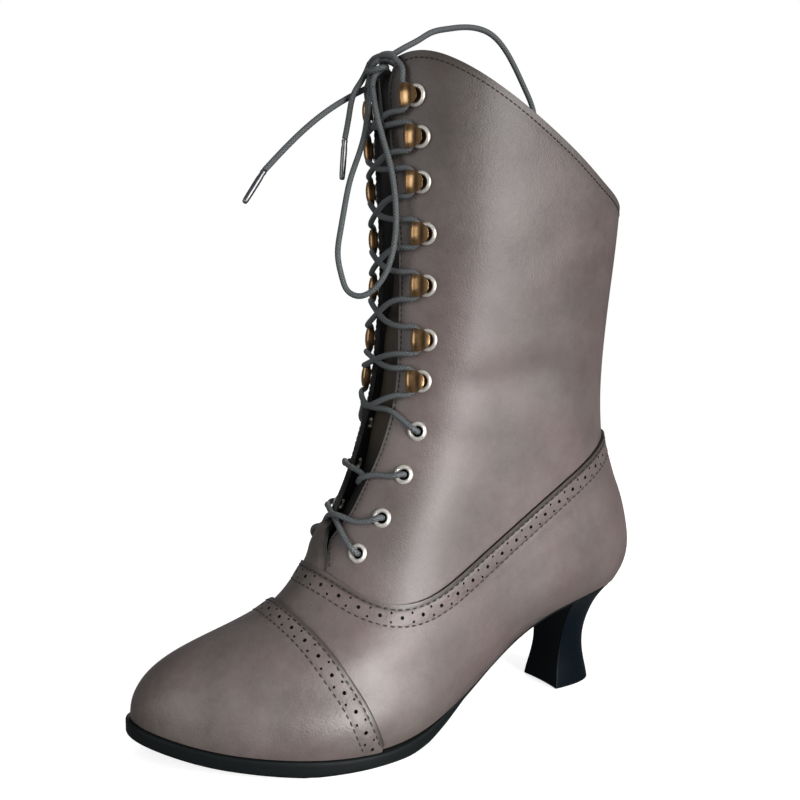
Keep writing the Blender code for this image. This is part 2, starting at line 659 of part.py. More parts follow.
def over_leather(height, side, lift):
    """A place on a cord that lies on the upper or crosses its throat."""
    rise = rise_of(height)
    return tuple(skin(turn_of(side, rise), rise, lift))


def between(points):
    return [over_leather(*point) for point in points]


def up_the_hooks(sign):
    """From the top eyelet of one side, round the hooks by turns, to the knot."""
    path = over_eyelet(3, sign) + between(FIRST_RUN[sign])
    below = EYELETS[3][0] + 4
    hand = -sign
    for row, (height, _) in enumerate(HOOKS):
        over = ON_LEATHER + (0.6 if hand > 0 else 0)
        path += [over_leather((below + height - 5) / 2, 0, over)] + round_hook(row, hand)
        below = height + 5
        hand = -hand
    return path + list(LACE_END_INNER if hand > 0 else LACE_END_OUTER)


def make_lace(look):
    routes = {
        "lace_crossing_1": (over_eyelet(1, 1) + between(CROSS_OVER) + over_eyelet(0, -1)[::-1],
                            over_eyelet(0, 1) + between(CROSS_UNDER) + over_eyelet(1, -1)[::-1]),
        "lace_crossing_2": (over_eyelet(2, 1) + between(TUCK_OUTER), over_eyelet(2, -1) + between(TUCK_INNER)),
        "lace_hook_crossings": (up_the_hooks(1), up_the_hooks(-1)),
    }
    for name, (first, second) in routes.items():
        joined(tube(name, first, LACE, look), tube(name + "_over", second, LACE, look))


def make_bow(lace_look, metal_look):
    bpy.ops.mesh.primitive_uv_sphere_add(segments=8, ring_count=6, radius=1)
    knot = bpy.context.object
    size = Matrix.Diagonal((*(half * MM for half in KNOT_SIZE), 1))
    knot.data.transform(Matrix.Translation(metres(KNOT_AT)) @ size)
    knot.data.shade_smooth()
    shape = knot.data
    bpy.data.objects.remove(knot)
    put("lace_knot", shape, lace_look)
    tube("lace_loop_back", smooth_path(BACK_LOOP, 8.2), LACE, lace_look)
    tube("lace_loop_front", smooth_path(FRONT_LOOP, 8.2), LACE, lace_look)
    for name, points, tip in (("long", END_LONG, AGLET_LONG_TO), ("short", END_SHORT, AGLET_SHORT_TO)):
        tube(f"lace_end_{name}", smooth_path(points, 6.0), LACE, lace_look)
        start, stop = np.array(points[-1]), np.array(tip)
        start = start + (stop - start) / np.linalg.norm(stop - start) * GAP
        tube(f"aglet_{name}", [start, stop], AGLET, metal_look)


def clear_scene():
    for old in list(bpy.data.objects):
        bpy.data.objects.remove(old)
    for name in ("lace_up_ankle_boot", "cutters", "shanks"):
        bpy.context.scene.collection.children.link(bpy.data.collections.new(name))


def main():
    clear_scene()
    leather = material("taupe leather", (0.17, 0.14, 0.125), 0.5)
    black = material("black rubber", (0.012, 0.014, 0.018), 0.4)
    heel_look = material("black heel", (0.01, 0.012, 0.016), 0.25)
    lining = material("black lining", (0.02, 0.019, 0.018), 0.8)
    tongue_look = material("brown tongue leather", (0.09, 0.068, 0.052), 0.6)
    silver = material("nickel", (0.8, 0.78, 0.74), 0.25, 1.0)
    brass = material("brass", (0.62, 0.45, 0.24), 0.3, 1.0)
    cord = material("waxed cord", (0.075, 0.085, 0.092), 0.55)
    tip = material("aglet metal", (0.2, 0.21, 0.22), 0.4, 1.0)
    make_lacing_metal(silver, brass)
    make_upper(leather)
    make_galosh(leather)
    make_toe_cap(leather)
    make_outsole(black)
    make_heel(heel_look)
    make_insole(lining)
    make_tongue(tongue_look)
    make_lace(cord)
    make_bow(cord, tip)


main()
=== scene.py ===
"""Left lace-up ankle boot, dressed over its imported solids.

The toe points to -Y and the outer side of the foot to +X. Sizes are in millimetres:
"along" is measured from the toe end towards the heel, "side" from the middle line
towards the outer side, and "height" from the floor.
"""

import bpy
import numpy as np
from mathutils import Matrix, Vector


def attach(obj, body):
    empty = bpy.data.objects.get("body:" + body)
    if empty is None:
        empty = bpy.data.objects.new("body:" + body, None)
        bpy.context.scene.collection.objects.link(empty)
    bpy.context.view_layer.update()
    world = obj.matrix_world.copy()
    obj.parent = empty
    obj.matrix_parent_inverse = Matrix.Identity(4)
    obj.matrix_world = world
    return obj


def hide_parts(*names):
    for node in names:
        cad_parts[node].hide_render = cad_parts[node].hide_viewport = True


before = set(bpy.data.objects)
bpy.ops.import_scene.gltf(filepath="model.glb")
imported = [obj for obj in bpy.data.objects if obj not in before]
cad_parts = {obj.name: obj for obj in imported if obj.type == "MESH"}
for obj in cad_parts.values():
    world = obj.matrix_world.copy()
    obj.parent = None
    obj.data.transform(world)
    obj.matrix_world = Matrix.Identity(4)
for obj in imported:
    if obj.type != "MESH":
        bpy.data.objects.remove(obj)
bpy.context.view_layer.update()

MM = 0.001
ORIGIN_ALONG = 123.25
ORIGIN_SIDE = 0.8

# Steps of the work: on the last, at its feather line, between merged points and along the cords
TICK = 1e-3
FEATHER_SHARE = 0.05
MERGE_WITHIN = 0.01
CORD_STEP = 0.8
ROUTE_STEP = 4.0

# Camera and view
CAMERA_AT = (367.75, -89.3, 179.3)
CAMERA_TO = (0.0, 120.5, 142.3)
LENS = 43.515

# Soft lights in metres and watts: name, place, aim, size, power, tint and spread
LIGHTS = (
    ("key", (0.93, 0.23, 0.27), (0, 0, 0.09), (0.5, 0.6), 9.6, (1.0, 0.97, 0.98), 180),
    ("front_fill", (0.15, -1.0, 0.30), (0, 0, 0.08), (0.6, 0.6), 2.4, (1, 1, 1), 180),
    ("low", (0.60, 0.0, 0.07), (0.03, -0.075, 0.01), (0.3, 0.2), 0.24, (1, 1, 1), 45),
    ("top", (0.1, 0.1, 1.1), (0, 0, 0.1), (0.8, 0.8), 0.7, (1, 1, 1), 180),
    ("back_fill", (-0.9, 0.5, 0.5), (0, 0, 0.15), (0.6, 0.8), 3.2, (1, 1, 1), 180),
)
WORLD_LIGHT = 0.16
FLOOR_GLOW = 0.72
FLOOR_RADIUS = 0.9
BACKDROP_RADIUS = 4

# Driving sizes, most of them as in the part
WALL = 1.8
GAP = 0.3
GALOSH_THICK = 1.2
CAP_THICK = 1.2
CAP_GAP = 0.7
CAP_SKIVE = 0.55
SKIVE_WIDE = 0.9
SOLE_EDGE_ROUND = 0.9
HEEL_SEAT = 46.0
INSOLE_THICK = 2.2
INSOLE_INSET = 3.0
TONGUE_THICK = 1.4
LACE = 2.5
AGLET = 2.7
HOOK_PLATE = 0.9
HOOK_SLOT = 3.0
HOOK_STRAP = 0.7
ON_LEATHER = 2.2
EYELET_HOLE = 2.55
EYELET_REACH = (-4, 4)

# Girth levels of the last from the feather line up to the collar
LEVEL_COLUMNS = ("front", "front_height", "back", "back_height", "nose_radius", "fore", "mid",
                 "heel", "back_radius", "sole_share", "swing_share", "collar_share")
LEVELS = np.array([
    (7.0, 16.5, 236.5, 50.0, 14.0, 34.0, 23.0, 23.5, 23.5, 1.00, 1.00, 0.00),
    (7.8, 23.0, 241.0, 58.0, 16.0, 36.5, 26.5, 27.5, 27.0, 0.97, 1.00, 0.00),
    (11.0, 29.2, 243.3, 67.0, 17.0, 36.0, 28.5, 29.5, 27.0, 0.90, 0.95, 0.00),
    (16.6, 34.5, 242.8, 76.0, 16.0, 33.5, 29.0, 29.5, 26.0, 0.80, 0.85, 0.00),
    (26.2, 39.7, 240.9, 86.0, 13.5, 32.0, 29.0, 29.0, 24.5, 0.65, 0.70, 0.00),
    (42.0, 45.2, 238.2, 95.0, 12.5, 30.5, 29.0, 28.5, 23.0, 0.50, 0.52, 0.00),
    (57.0, 51.5, 235.2, 103.0, 12.5, 30.0, 29.0, 27.5, 21.5, 0.36, 0.38, 0.00),
    (69.0, 61.5, 232.6, 111.0, 14.0, 29.5, 29.3, 27.0, 20.5, 0.25, 0.25, 0.00),
    (79.5, 76.0, 230.0, 119.0, 15.0, 29.3, 29.7, 26.5, 19.5, 0.15, 0.15, 0.00),
    (90.0, 95.5, 228.8, 128.0, 17.0, 29.5, 30.3, 26.0, 19.0, 0.07, 0.07, 0.00),
    (100.5, 117.0, 228.2, 138.0, 20.0, 29.5, 31.0, 25.5, 18.5, 0.02, 0.02, 0.00),
    (107.5, 140.0, 228.2, 151.0, 24.0, 30.5, 32.0, 25.5, 18.5, 0.00, 0.00, 0.00),
    (111.5, 170.0, 229.3, 170.0, 27.0, 33.0, 34.5, 26.5, 20.0, 0.00, 0.00, 0.05),
    (112.3, 205.0, 231.0, 190.0, 28.0, 35.5, 37.5, 28.5, 22.0, 0.00, 0.00, 0.20),
    (110.5, 245.0, 232.8, 209.0, 29.0, 38.0, 40.0, 30.5, 24.5, 0.00, 0.00, 0.55),
    (110.0, 284.0, 234.0, 227.2, 30.0, 39.5, 41.5, 32.0, 27.0, 0.00, 0.00, 1.00),
])
STATIONS = (0.0, 0.3, 0.6, 0.85, 1.0)

# Profiles, each a short table of (place, value)
SOLE_TOP = ((0, 17.5), (10, 15), (22, 12), (36, 9.4), (55, 7.4), (71, 6.3), (87, 5.8), (100, 6.2),
            (114, 8.5), (128, 13), (140, 18.3), (158, 28.6), (179, 39.8), (203, 47.6), (220, 51),
            (240, 52.6))
SOLE_THICK = ((0, 6.4), (36, 6.4), (58, 7.0), (64, 6.4), (95, 5.9), (104, 6.4), (114, 6.3), (126, 4.6),
              (136, 2.6), (150, 2.2), (180, 2.3), (240, 2.4))
SOLE_LEDGE = ((0, 5.2), (30, 5.0), (60, 4.3), (85, 4.5), (110, 3.3), (130, 1.5), (150, 0.9), (180, 0.5),
              (200, 0.2), (240, -0.2))
FLAT_FROM, FLAT_TO = 62.0, 95.0
MIDDLE_LINE = ((0, -14), (0.05, -11), (0.15, -5.5), (0.24, 0), (0.35, 4), (0.45, 4.5), (0.56, 3.5),
               (0.7, 1.5), (0.85, 0), (1, 0))
COLLAR_RISE = ((0, 0), (0.03, 4), (0.07, 6.5), (0.14, 6.8), (0.28, 4.6), (0.38, 2.9), (0.5, 0.5),
               (0.64, -2.8), (0.74, -4.9), (0.82, -4.8), (0.95, -2.4), (1, 0))
GALOSH_EDGE = ((70, 76), (80, 72.5), (86, 68), (94, 63), (104, 60.6), (118, 62.9), (138, 73.3), (164, 89.6),
               (187, 104.3), (210, 117), (222, 122.5), (240, 126))
CAP_EDGE = ((0, 91.4), (6, 90.6), (15, 87.2), (26.6, 82.4), (41, 75.6), (51, 70), (58, 65.5), (64, 61.5))

# The throat by front height: half of its opening, and how far its middle is off the middle line
THROAT = ((70, 0.0, 10.5), (76, 0.0, 8.0), (84, 0.0, 4.0), (88, 1.8, 3.2), (94, 5.6, 2.0), (104, 8.0, 0.8),
          (116, 9.6, 0.2), (138, 11.4, 0), (150, 11.6, 0), (170, 10.7, 0), (205, 10.3, 0), (228, 9.6, 0),
          (248, 8.2, 0), (268, 7.0, 0), (277, 8.0, 0), (284, 12.0, 0))
THROAT_FOOT = 84
TONGUE = ((64, 15.0, 2.3), (80, 17.0, 4.0), (100, 19.0, 5.6), (150, 21.0, 5.0), (190, 21.5, 5.8),
          (220, 22.0, 6.6), (281, 22.0, 6.2))
# How far the inner quarter is set back at the throat by front height
INNER_SET = ((60, 0), (72, -1.0), (80, -1.7), (88, -1.0), (96, -0.4), (106, -0.6), (118, -1.4), (132, -1.2),
             (142, -0.3), (170, 0.5), (191, 1.8), (212, 2.4), (233, 2.4), (250, 2.2), (284, 1.9))
INNER_FULL, INNER_FROM, INNER_TO = 0.12, 0.17, 0.45

# Heel rings from the floor to the seat: height, breast, back and half-width
HEEL = ((0, 199.4, 226.2, 12.8), (3, 199.9, 225.6, 12.4), (10, 201.2, 224.0, 11.1),
        (19, 203.0, 223.0, 10.4), (27, 203.8, 224.2, 11.4), (35, 203.7, 227.4, 14.2),
        (41, 203.0, 231.3, 17.8), (46, 202.0, 236.4, 21.8))
HEEL_FULLNESS = 2.5

# Lacing by front height and distance from the middle line
EYELETS = ((79.0, 17.5), (93.0, 20.4), (110.9, 22.3), (129.5, 23.3))
HOOKS = ((151.2, 20.6), (168.7, 21.6), (191.4, 20.6), (212.6, 20.8), (233.1, 19.6), (250.7, 19.9),
         (266.7, 18.2))

# Runs of the lace between eyelets, as (front height, side, lift) over the leather
EYELET_LEAN = {1: (50, -8, -3, 40), -1: (70, -8, -3, 75)}
CROSS_OVER = ((92.1, 12.2, 2.2), (93.4, 8.0, 2.6), (93.9, 3.4, 3.0), (93.2, -1.5, 2.0), (91.4, -6.0, 0.8),
              (87.6, -10.0, 0.2))
CROSS_UNDER = ((88.7, 8.3, 1.9), (91.4, 4.8, 1.3), (93.6, 0.0, 0.7), (95.0, -5.5, 1.6), (95.4, -10.0, 2.2))
TUCK_OUTER = ((111.2, 13.2, 2.2), (110.6, 9.4, 1.9), (109.8, 6.8, 1.2), (108.6, 4.0, -1.2))
TUCK_INNER = ((114.0, -12.5, 2.3), (113.8, -7.5, 1.8), (113.3, -1.2, 1.0), (112.3, 4.2, -0.2),
              (110.8, 7.0, -0.8))
FIRST_RUN = {1: ((138.4, 12.5, 2.2),), -1: ((139.0, -18.5, 1.9), (140.8, -12.0, 1.7))}

# Free ends of the lace: points (side, along, height)
LACE_END_OUTER = ((16.9, 112.0, 279.0), (13.7, 110.5, 283.8))
LACE_END_INNER = ((-12.5, 111.0, 276.5), (-6.0, 110.0, 279.5))
BACK_LOOP = ((6.8, 112.6, 287.2), (8.0, 118.5, 291.0), (8.0, 124.7, 294.6), (8.0, 130.6, 298.4),
             (7.0, 139.5, 301.6), (6.0, 149.3, 304.0), (5.0, 164.2, 303.2), (4.0, 176.8, 292.6),
             (3.0, 184.5, 282.3), (2.0, 189.9, 274.0), (0.0, 192.0, 262.0), (-4.0, 187.5, 250.0),
             (-8.0, 174.0, 244.0), (-10.0, 158.0, 247.0), (-9.0, 143.0, 256.0), (-6.0, 131.0, 268.0),
             (-2.0, 122.6, 282.2), (1.0, 116.8, 285.6), (2.6, 113.2, 285.8))
FRONT_LOOP = ((1.0, 105.6, 274.6), (0.0, 105.4, 270.3), (-1.0, 104.4, 258.0), (-2.0, 101.8, 247.5),
              (-2.5, 97.6, 235.8), (-3.0, 96.0, 228.3), (-3.0, 93.2, 214.4), (-2.0, 91.5, 204.7),
              (-1.0, 93.0, 195.0), (1.0, 94.6, 189.6), (5.0, 98.0, 187.4), (10.0, 103.3, 191.1),
              (15.0, 107.2, 201.4), (17.0, 108.9, 216.4), (16.5, 108.7, 228.6), (14.0, 107.8, 241.4),
              (11.0, 106.2, 251.8), (8.0, 104.5, 263.5), (4.6, 104.7, 273.6))
END_LONG = ((-3.5, 106.3, 275.2), (-8.5, 102.3, 272.8), (-9.5, 92.0, 266.2), (-11.0, 78.3, 254.7),
            (-12.0, 63.0, 238.9))
END_SHORT = ((-2.0, 107.0, 285.3), (-3.5, 104.0, 278.2), (-4.5, 101.0, 273.1), (-7.0, 99.6, 263.7),
             (-8.5, 98.3, 254.2))
AGLET_LONG_TO = (-13.0, 54.3, 225.2)
AGLET_SHORT_TO = (-10.0, 97.6, 237.1)

# Punched bands: distances from the edge, hole sizes and spacing
STITCH_ROWS = (2.1, 9.1)
BIG_ROW = 5.4
SMALL_ROWS = (3.55, 7.4)
BIG_HOLE = 1.65
SMALL_HOLE = 1.05
PUNCH_REACH = (-2.6, 1.4)
GALOSH_HOLES = (9.2, 0.17)
CAP_HOLES = (8.24, 0.56)
STITCH_PITCH = 3.15
STITCH_LONG = 1.9
THREAD = 0.68
THREAD_SUNK = 0.05
FINE_SUNK = 0.1
COLLAR_ROW = 2.8
THROAT_ROW = 1.4
FINE_PITCH = 2.3
FINE_LONG = 1.8


def swell(value, low, high):
    """0 below low and 1 above high, smooth between."""
    share = np.clip((value - low) / (high - low), 0, 1)
    return share * share * (3 - 2 * share)


def bell(value, width, power=2):
    """1 at zero, fading to nothing a few widths away; a higher power has a flatter top."""
    return np.exp(-(value / width) ** power)


def unit(vectors):
    return vectors / np.linalg.norm(vectors, axis=-1, keepdims=True)


def walk(path):
    """Distance walked to each point of a path."""
    return np.concatenate([[0], np.cumsum(np.linalg.norm(np.diff(path, axis=0), axis=1))])


def spline(table):
    """A natural cubic spline through a table of (place, value...), as a function of place."""
    table = np.asarray(table, float)
    knots, values = table[:, 0], table[:, 1:]
    step = np.diff(knots)
    matrix = np.eye(len(knots))
    right = np.zeros_like(values)
    for i in range(1, len(knots) - 1):
        matrix[i, i - 1:i + 2] = step[i - 1], 2 * (step[i - 1] + step[i]), step[i]
        after = (values[i + 1] - values[i]) / step[i]
        before = (values[i] - values[i - 1]) / step[i - 1]
        right[i] = 6 * (after - before)
    bend = np.linalg.solve(matrix, right)

    def at(place):
        place = np.asarray(place, float)
        i = np.clip(np.searchsorted(knots, place, side="right") - 1, 0, len(knots) - 2)
        before = (place - knots[i])[..., None]
        after = (knots[i + 1] - place)[..., None]
        width = step[i][..., None]
        curve = (bend[i] * after ** 3 + bend[i + 1] * before ** 3) / (6 * width)
        low = (values[i] / width - bend[i] * width / 6) * after
        high = (values[i + 1] / width - bend[i + 1] * width / 6) * before
        found = curve + low + high
        return found[..., 0] if values.shape[1] == 1 else found

    return at


def level_places():
    """Where each level lies between feather line and collar, by the mean rise of its two ends."""
    front = np.hypot(np.diff(LEVELS[:, 0]), np.diff(LEVELS[:, 1]))
    back = np.hypot(np.diff(LEVELS[:, 2]), np.diff(LEVELS[:, 3]))
    places = np.concatenate([[0.0], np.cumsum(front + back)])
    return places / places[-1]


level_at = spline(np.column_stack([level_places(), LEVELS]))
sole_top = spline(SOLE_TOP)
sole_ledge = spline(SOLE_LEDGE)
middle_line = spline(MIDDLE_LINE)
collar_rise = spline(COLLAR_RISE)
galosh_height = spline(GALOSH_EDGE)
cap_along = spline(CAP_EDGE)
throat_at = spline(THROAT)
tongue_at = spline(TONGUE)
inner_set = spline(INNER_SET)


def sole_bottom(along):
    """Height of the tread, flat on the floor under the ball of the foot."""
    along = np.asarray(along, float)
    low = sole_top(along) - np.interp(along, *np.transpose(SOLE_THICK))
    low = np.where((along >= FLAT_FROM) & (along <= FLAT_TO), 0.0, low)
    return np.maximum(low, 0.0)


def set_share(turn):
    """How much of the inner quarter's set a turn gets: all beside the throat, none at the back."""
    return swell(turn, 0, INNER_FULL) * (1 - swell(turn, INNER_FROM, INNER_TO))


def last(turn, rise):
    """Point of the last as (side, along, height).

    turn runs from 0 at the front to 1 at the back by the outer side and to -1 by the
    inner side; rise runs from 0 at the feather line to 1 at the collar.
    """
    turn, rise = np.broadcast_arrays(np.asarray(turn, float), np.asarray(rise, float))
    turn = (turn + 1) % 2 - 1
    level = dict(zip(LEVEL_COLUMNS, np.moveaxis(level_at(rise), -1, 0)))
    angle = np.pi * np.abs(turn)
    share = (1 - np.cos(angle)) / 2
    length = level["back"] - level["front"]
    fullness = [2 * level["nose_radius"] / length]
    for name, station in zip(("fore", "mid", "heel"), STATIONS[1:4]):
        fullness.append(level[name] ** 2 / (length ** 2 * station * (1 - station)))
    fullness.append(2 * level["back_radius"] / length)
    blend = 0
    for i, here in enumerate(STATIONS):
        weight = 1
        for other in STATIONS[:i] + STATIONS[i + 1:]:
            weight = weight * (share - other) / (here - other)
        blend = blend + fullness[i] * weight
    width = length / 2 * np.sin(angle) * np.sqrt(np.maximum(blend, 1e-4))
    base = LEVELS[0]
    chord = base[1] + (base[3] - base[1]) * share
    arch = sole_top(base[0] + (base[2] - base[0]) * share) - chord
    along = level["front"] + length * share
    height = level["front_height"] + (level["back_height"] - level["front_height"]) * share
    height = height + level["sole_share"] * arch + level["collar_share"] * collar_rise(share)
    side = np.sign(turn) * width + level["swing_share"] * middle_line(share)
    set_back = inner_set(np.clip(level["front_height"], INNER_SET[0][0], INNER_SET[-1][0]))
    along = along + np.where(turn < 0, set_back, 0) * set_share(-turn)
    return np.stack([side, along, height], -1)


def across_at(turn, rise):
    """A small step round the last at a place."""
    return last(turn + TICK, rise) - last(turn - TICK, rise)


def outward(turn, rise):
    """Way out of the last that clears it by one; level at the feather line."""
    rise = np.asarray(rise, float)
    up = last(turn, np.clip(rise + TICK, 0, 1)) - last(turn, np.clip(rise - TICK, 0, 1))
    normal = unit(np.cross(across_at(turn, rise), up))
    level = normal.copy()
    level[..., 2] *= np.where(level[..., 2] < 0, np.clip(rise / FEATHER_SHARE, 0, 1), 1)
    level = unit(level)
    return level / np.maximum(np.sum(level * normal, axis=-1, keepdims=True), 0.6)


def skin(turn, rise, lift):
    """Point at a distance lift outside the last, resting on the sole at the feather line."""
    base = last(turn, rise)
    point = base + np.asarray(lift, float)[..., None] * outward(turn, rise)
    fade = np.clip(1 - np.asarray(rise, float) / FEATHER_SHARE, 0, 1)
    point[..., 2] += fade * (sole_top(point[..., 1]) - sole_top(base[..., 1]))
    return point


def rise_where(test, turn, low, high):
    """The rise in each column at which test(point) changes from below to above zero."""
    low, high = np.full(np.shape(turn), low), np.full(np.shape(turn), high)
    for _ in range(40):
        middle = (low + high) / 2
        above = test(last(turn, middle)) > 0
        high = np.where(above, middle, high)
        low = np.where(above, low, middle)
    return (low + high) / 2


def galosh_rise(turn):
    return rise_where(lambda point: point[..., 2] - galosh_height(point[..., 1]), turn, 0.03, 0.8)


def cap_rise(turn):
    return rise_where(lambda point: point[..., 1] - cap_along(point[..., 2]), turn, 0.0, 0.5)


def rise_of(front_height):
    """The level whose front point has this height."""
    rises = np.linspace(0, 1, 2001)
    return np.interp(front_height, level_at(rises)[:, 1], rises)


def turn_of(side, rise):
    """The turn of a place near the front that lies this far from the middle line."""
    level = level_at(rise)
    length = level[..., 2] - level[..., 0]
    return side / (np.pi * np.sqrt(level[..., 4] * length / 2))


def throat_edges(rise):
    """Turns of the outer and the inner edge of the throat at a level."""
    height = level_at(rise)[..., 1]
    half, middle = np.moveaxis(throat_at(np.clip(height, THROAT[0][0], THROAT[-1][0])), -1, 0)
    half = np.maximum(half, 0)
    return turn_of(middle + half, rise), turn_of(middle - half, rise)


SEAM = float(throat_edges(rise_of(THROAT[0][0]))[0])


def metres(points):
    """Points (side, along, height) in millimetres as the part's own coordinates."""
    return (np.asarray(points, float) - (ORIGIN_SIDE, ORIGIN_ALONG, 0)) * MM


# Finishes

class Value:
    """A socket that Python's operators turn into Math nodes."""

    def __init__(self, finish, socket):
        self.finish = finish
        self.socket = socket

    def math(self, operation, first, second):
        return self.finish.node("Math", {"operation": operation}, {0: first, 1: second})

    def __add__(self, other):
        return self.math("ADD", self, other)

    def __radd__(self, other):
        return self.math("ADD", other, self)

    def __sub__(self, other):
        return self.math("SUBTRACT", self, other)

    def __mul__(self, other):
        return self.math("MULTIPLY", self, other)


class Finish:
    """A material of this boot and the nodes that draw it."""

    def __init__(self, name, **constants):
        self.material = bpy.data.materials.new(name)
        self.material.use_nodes = True
        self.tree = self.material.node_tree
        self.shader = self.tree.nodes["Principled BSDF"]
        for socket, value in constants.items():
            self.shader.inputs[socket.replace("_", " ")].default_value = value

    def node(self, kind, settings=None, sockets=None, output=0):
        """Any node, by its type, its settings, and the values or links of its sockets."""
        made = self.tree.nodes.new("ShaderNode" + kind)
        for name, value in (settings or {}).items():
            if name == "stops":
                for stop, (place, shade) in zip(made.color_ramp.elements, value):
                    stop.position = place
                    stop.color = (shade, shade, shade, 1)
            else:
                setattr(made, name, value)
        for name, value in (sockets or {}).items():
            self.feed(made.inputs[name], value)
        return Value(self, made.outputs[output])

    def feed(self, socket, value):
        if isinstance(value, Value):
            self.tree.links.new(value.socket, socket)
        else:
            socket.default_value = value

    def noise(self, place, size, detail=2.0, rough=0.5):
        """Noise whose lumps are about this many millimetres across."""
        sockets = {"Vector": place, "Scale": 1000 / size, "Detail": detail, "Roughness": rough}
        return self.node("TexNoise", None, sockets)

    def ramp(self, value, low, high):
        return self.node("ValToRGB", {"stops": ((low, 0.0), (high, 1.0))}, {0: value})

    def mix(self, share, first, second):
        return self.node("Mix", {"data_type": "RGBA"}, {0: share, 6: first, 7: second}, 2)

    def place(self):
        return self.node("TexCoord", None, None, "Object")

    def attribute(self, name):
        return self.node("Attribute", {"attribute_name": name}, None, "Fac")

    def colour(self, value):
        self.feed(self.shader.inputs["Base Color"], value)

    def rough(self, value):
        self.feed(self.shader.inputs["Roughness"], value)

    def bump(self, height, distance):
        bumped = self.node("Bump", None, {"Strength": 1.0, "Distance": distance * MM, "Height": height})
        self.feed(self.shader.inputs["Normal"], bumped)


def rgb(red, green, blue):
    return (red, green, blue, 1.0)


def taupe_leather(name):
    """Smooth waxed leather, mottled, with fine pores, darker along rubbed edges and where shade is painted
    on.
    """
    finish = Finish(name, Coat_Weight=0.12, Coat_Roughness=0.32)
    place = finish.place()
    cloud = finish.noise(place, 22, 3.0, 0.55)
    hue = finish.noise(place, 38, 2.0, 0.5)
    fleck = finish.noise(place, 3.6, 4.0, 0.6)
    speck = finish.noise(place, 0.9, 2.0, 0.6)
    pores = finish.node("TexVoronoi", None, {"Vector": place, "Scale": 1000 / 0.8})
    shade_and_wear = finish.attribute("shade_and_wear")
    shade = finish.ramp(cloud * 0.6 + fleck * 0.3 + speck * 0.1, 0.36, 0.64)
    rosy = finish.mix(shade, rgb(0.106, 0.081, 0.076), rgb(0.160, 0.125, 0.119))
    olive = finish.mix(shade, rgb(0.098, 0.085, 0.075), rgb(0.148, 0.131, 0.117))
    tone = finish.ramp(hue, 0.42, 0.66) * 0.7 + finish.attribute("olive") * 0.6
    body = finish.mix(tone, rosy, olive)
    # Painted shade and wear: the painted map darkens the leather towards a dark brown
    finish.colour(finish.mix(shade_and_wear, body, rgb(0.026, 0.020, 0.016)))
    finish.rough(0.40 + fleck * 0.16 + shade_and_wear * -0.05)
    finish.bump(pores * 0.35 + speck * 0.35 + fleck * 1.0, 0.16)
    return finish.material


def worn(name, dark, pale, grain, roughness, depth, cloud=None, **constants):
    """A plain finish: a fine grain mottles, dulls and roughens it, with broad clouds where asked."""
    finish = Finish(name, **constants)
    place = finish.place()
    fine = finish.noise(place, *grain)
    shade = fine if cloud is None else fine * 0.6 + finish.noise(place, cloud) * 0.4
    finish.colour(finish.mix(shade, dark, pale))
    finish.rough(roughness[0] + fine * roughness[1])
    finish.bump(fine, depth)
    return finish.material


def tongue_finish():
    finish = Finish("tongue_leather", Coat_Weight=0.05, Coat_Roughness=0.4)
    place = finish.place()
    cloud = finish.noise(place, 14, 3.0)
    grain = finish.node("TexVoronoi", None, {"Vector": place, "Scale": 1000 / 0.9})
    speck = finish.noise(place, 1.1, 3.0)
    body = finish.mix(cloud * 0.7 + speck * 0.3, rgb(0.020, 0.014, 0.009), rgb(0.066, 0.049, 0.033))
    # Painted shade: the leather goes near black where the throat shades it
    finish.colour(finish.mix(finish.attribute("throat_shade"), body, rgb(0.007, 0.0065, 0.006)))
    finish.rough(0.5 + speck * 0.2)
    finish.bump(grain * 0.6 + speck * 0.5, 0.15)
    return finish.material


def metal_finish(name, dark, pale, roughness, metal=1.0):
    finish = Finish(name, Metallic=metal)
    place = finish.place()
    wear = finish.noise(place, 2.2, 3.0, 0.6)
    brush = finish.noise(place, 0.5, 2.0)
    # Painted reflection and shade: dark bands on the hooks' curls and dark middles of the washers
    shade_and_reflection = finish.attribute("shade_and_reflection")
    finish.colour(finish.mix(shade_and_reflection, finish.mix(wear, dark, pale), rgb(0.05, 0.026, 0.011)))
    finish.rough(roughness + brush * 0.12)
    finish.bump(wear, 0.03)
    return finish.material


def lace_finish():
    """Waxed braid: strands cross at a slant along the cord's own UV."""
    finish = Finish("waxed_braid")
    uv = finish.node("TexCoord", None, None, "UV")
    around = finish.node("SeparateXYZ", None, {0: uv}, 0)
    along = finish.node("SeparateXYZ", None, {0: uv}, 1)
    left = finish.node("Math", {"operation": "SINE"}, {0: around * 25.13 + along * 4.6})
    right = finish.node("Math", {"operation": "SINE"}, {0: around * 25.13 - along * 4.6})
    braid = finish.node("Math", {"operation": "MAXIMUM"}, {0: left, 1: right})
    place = finish.place()
    fluff = finish.noise(place, 0.5, 3.0, 0.6)
    shade = braid * 0.2 + fluff * 0.5 + 0.12
    finish.colour(finish.mix(shade, rgb(0.026, 0.031, 0.033), rgb(0.175, 0.192, 0.198)))
    finish.rough(0.42 + fluff * 0.25)
    finish.bump(braid * 0.5 + fluff * 0.4, 0.16)
    return finish.material


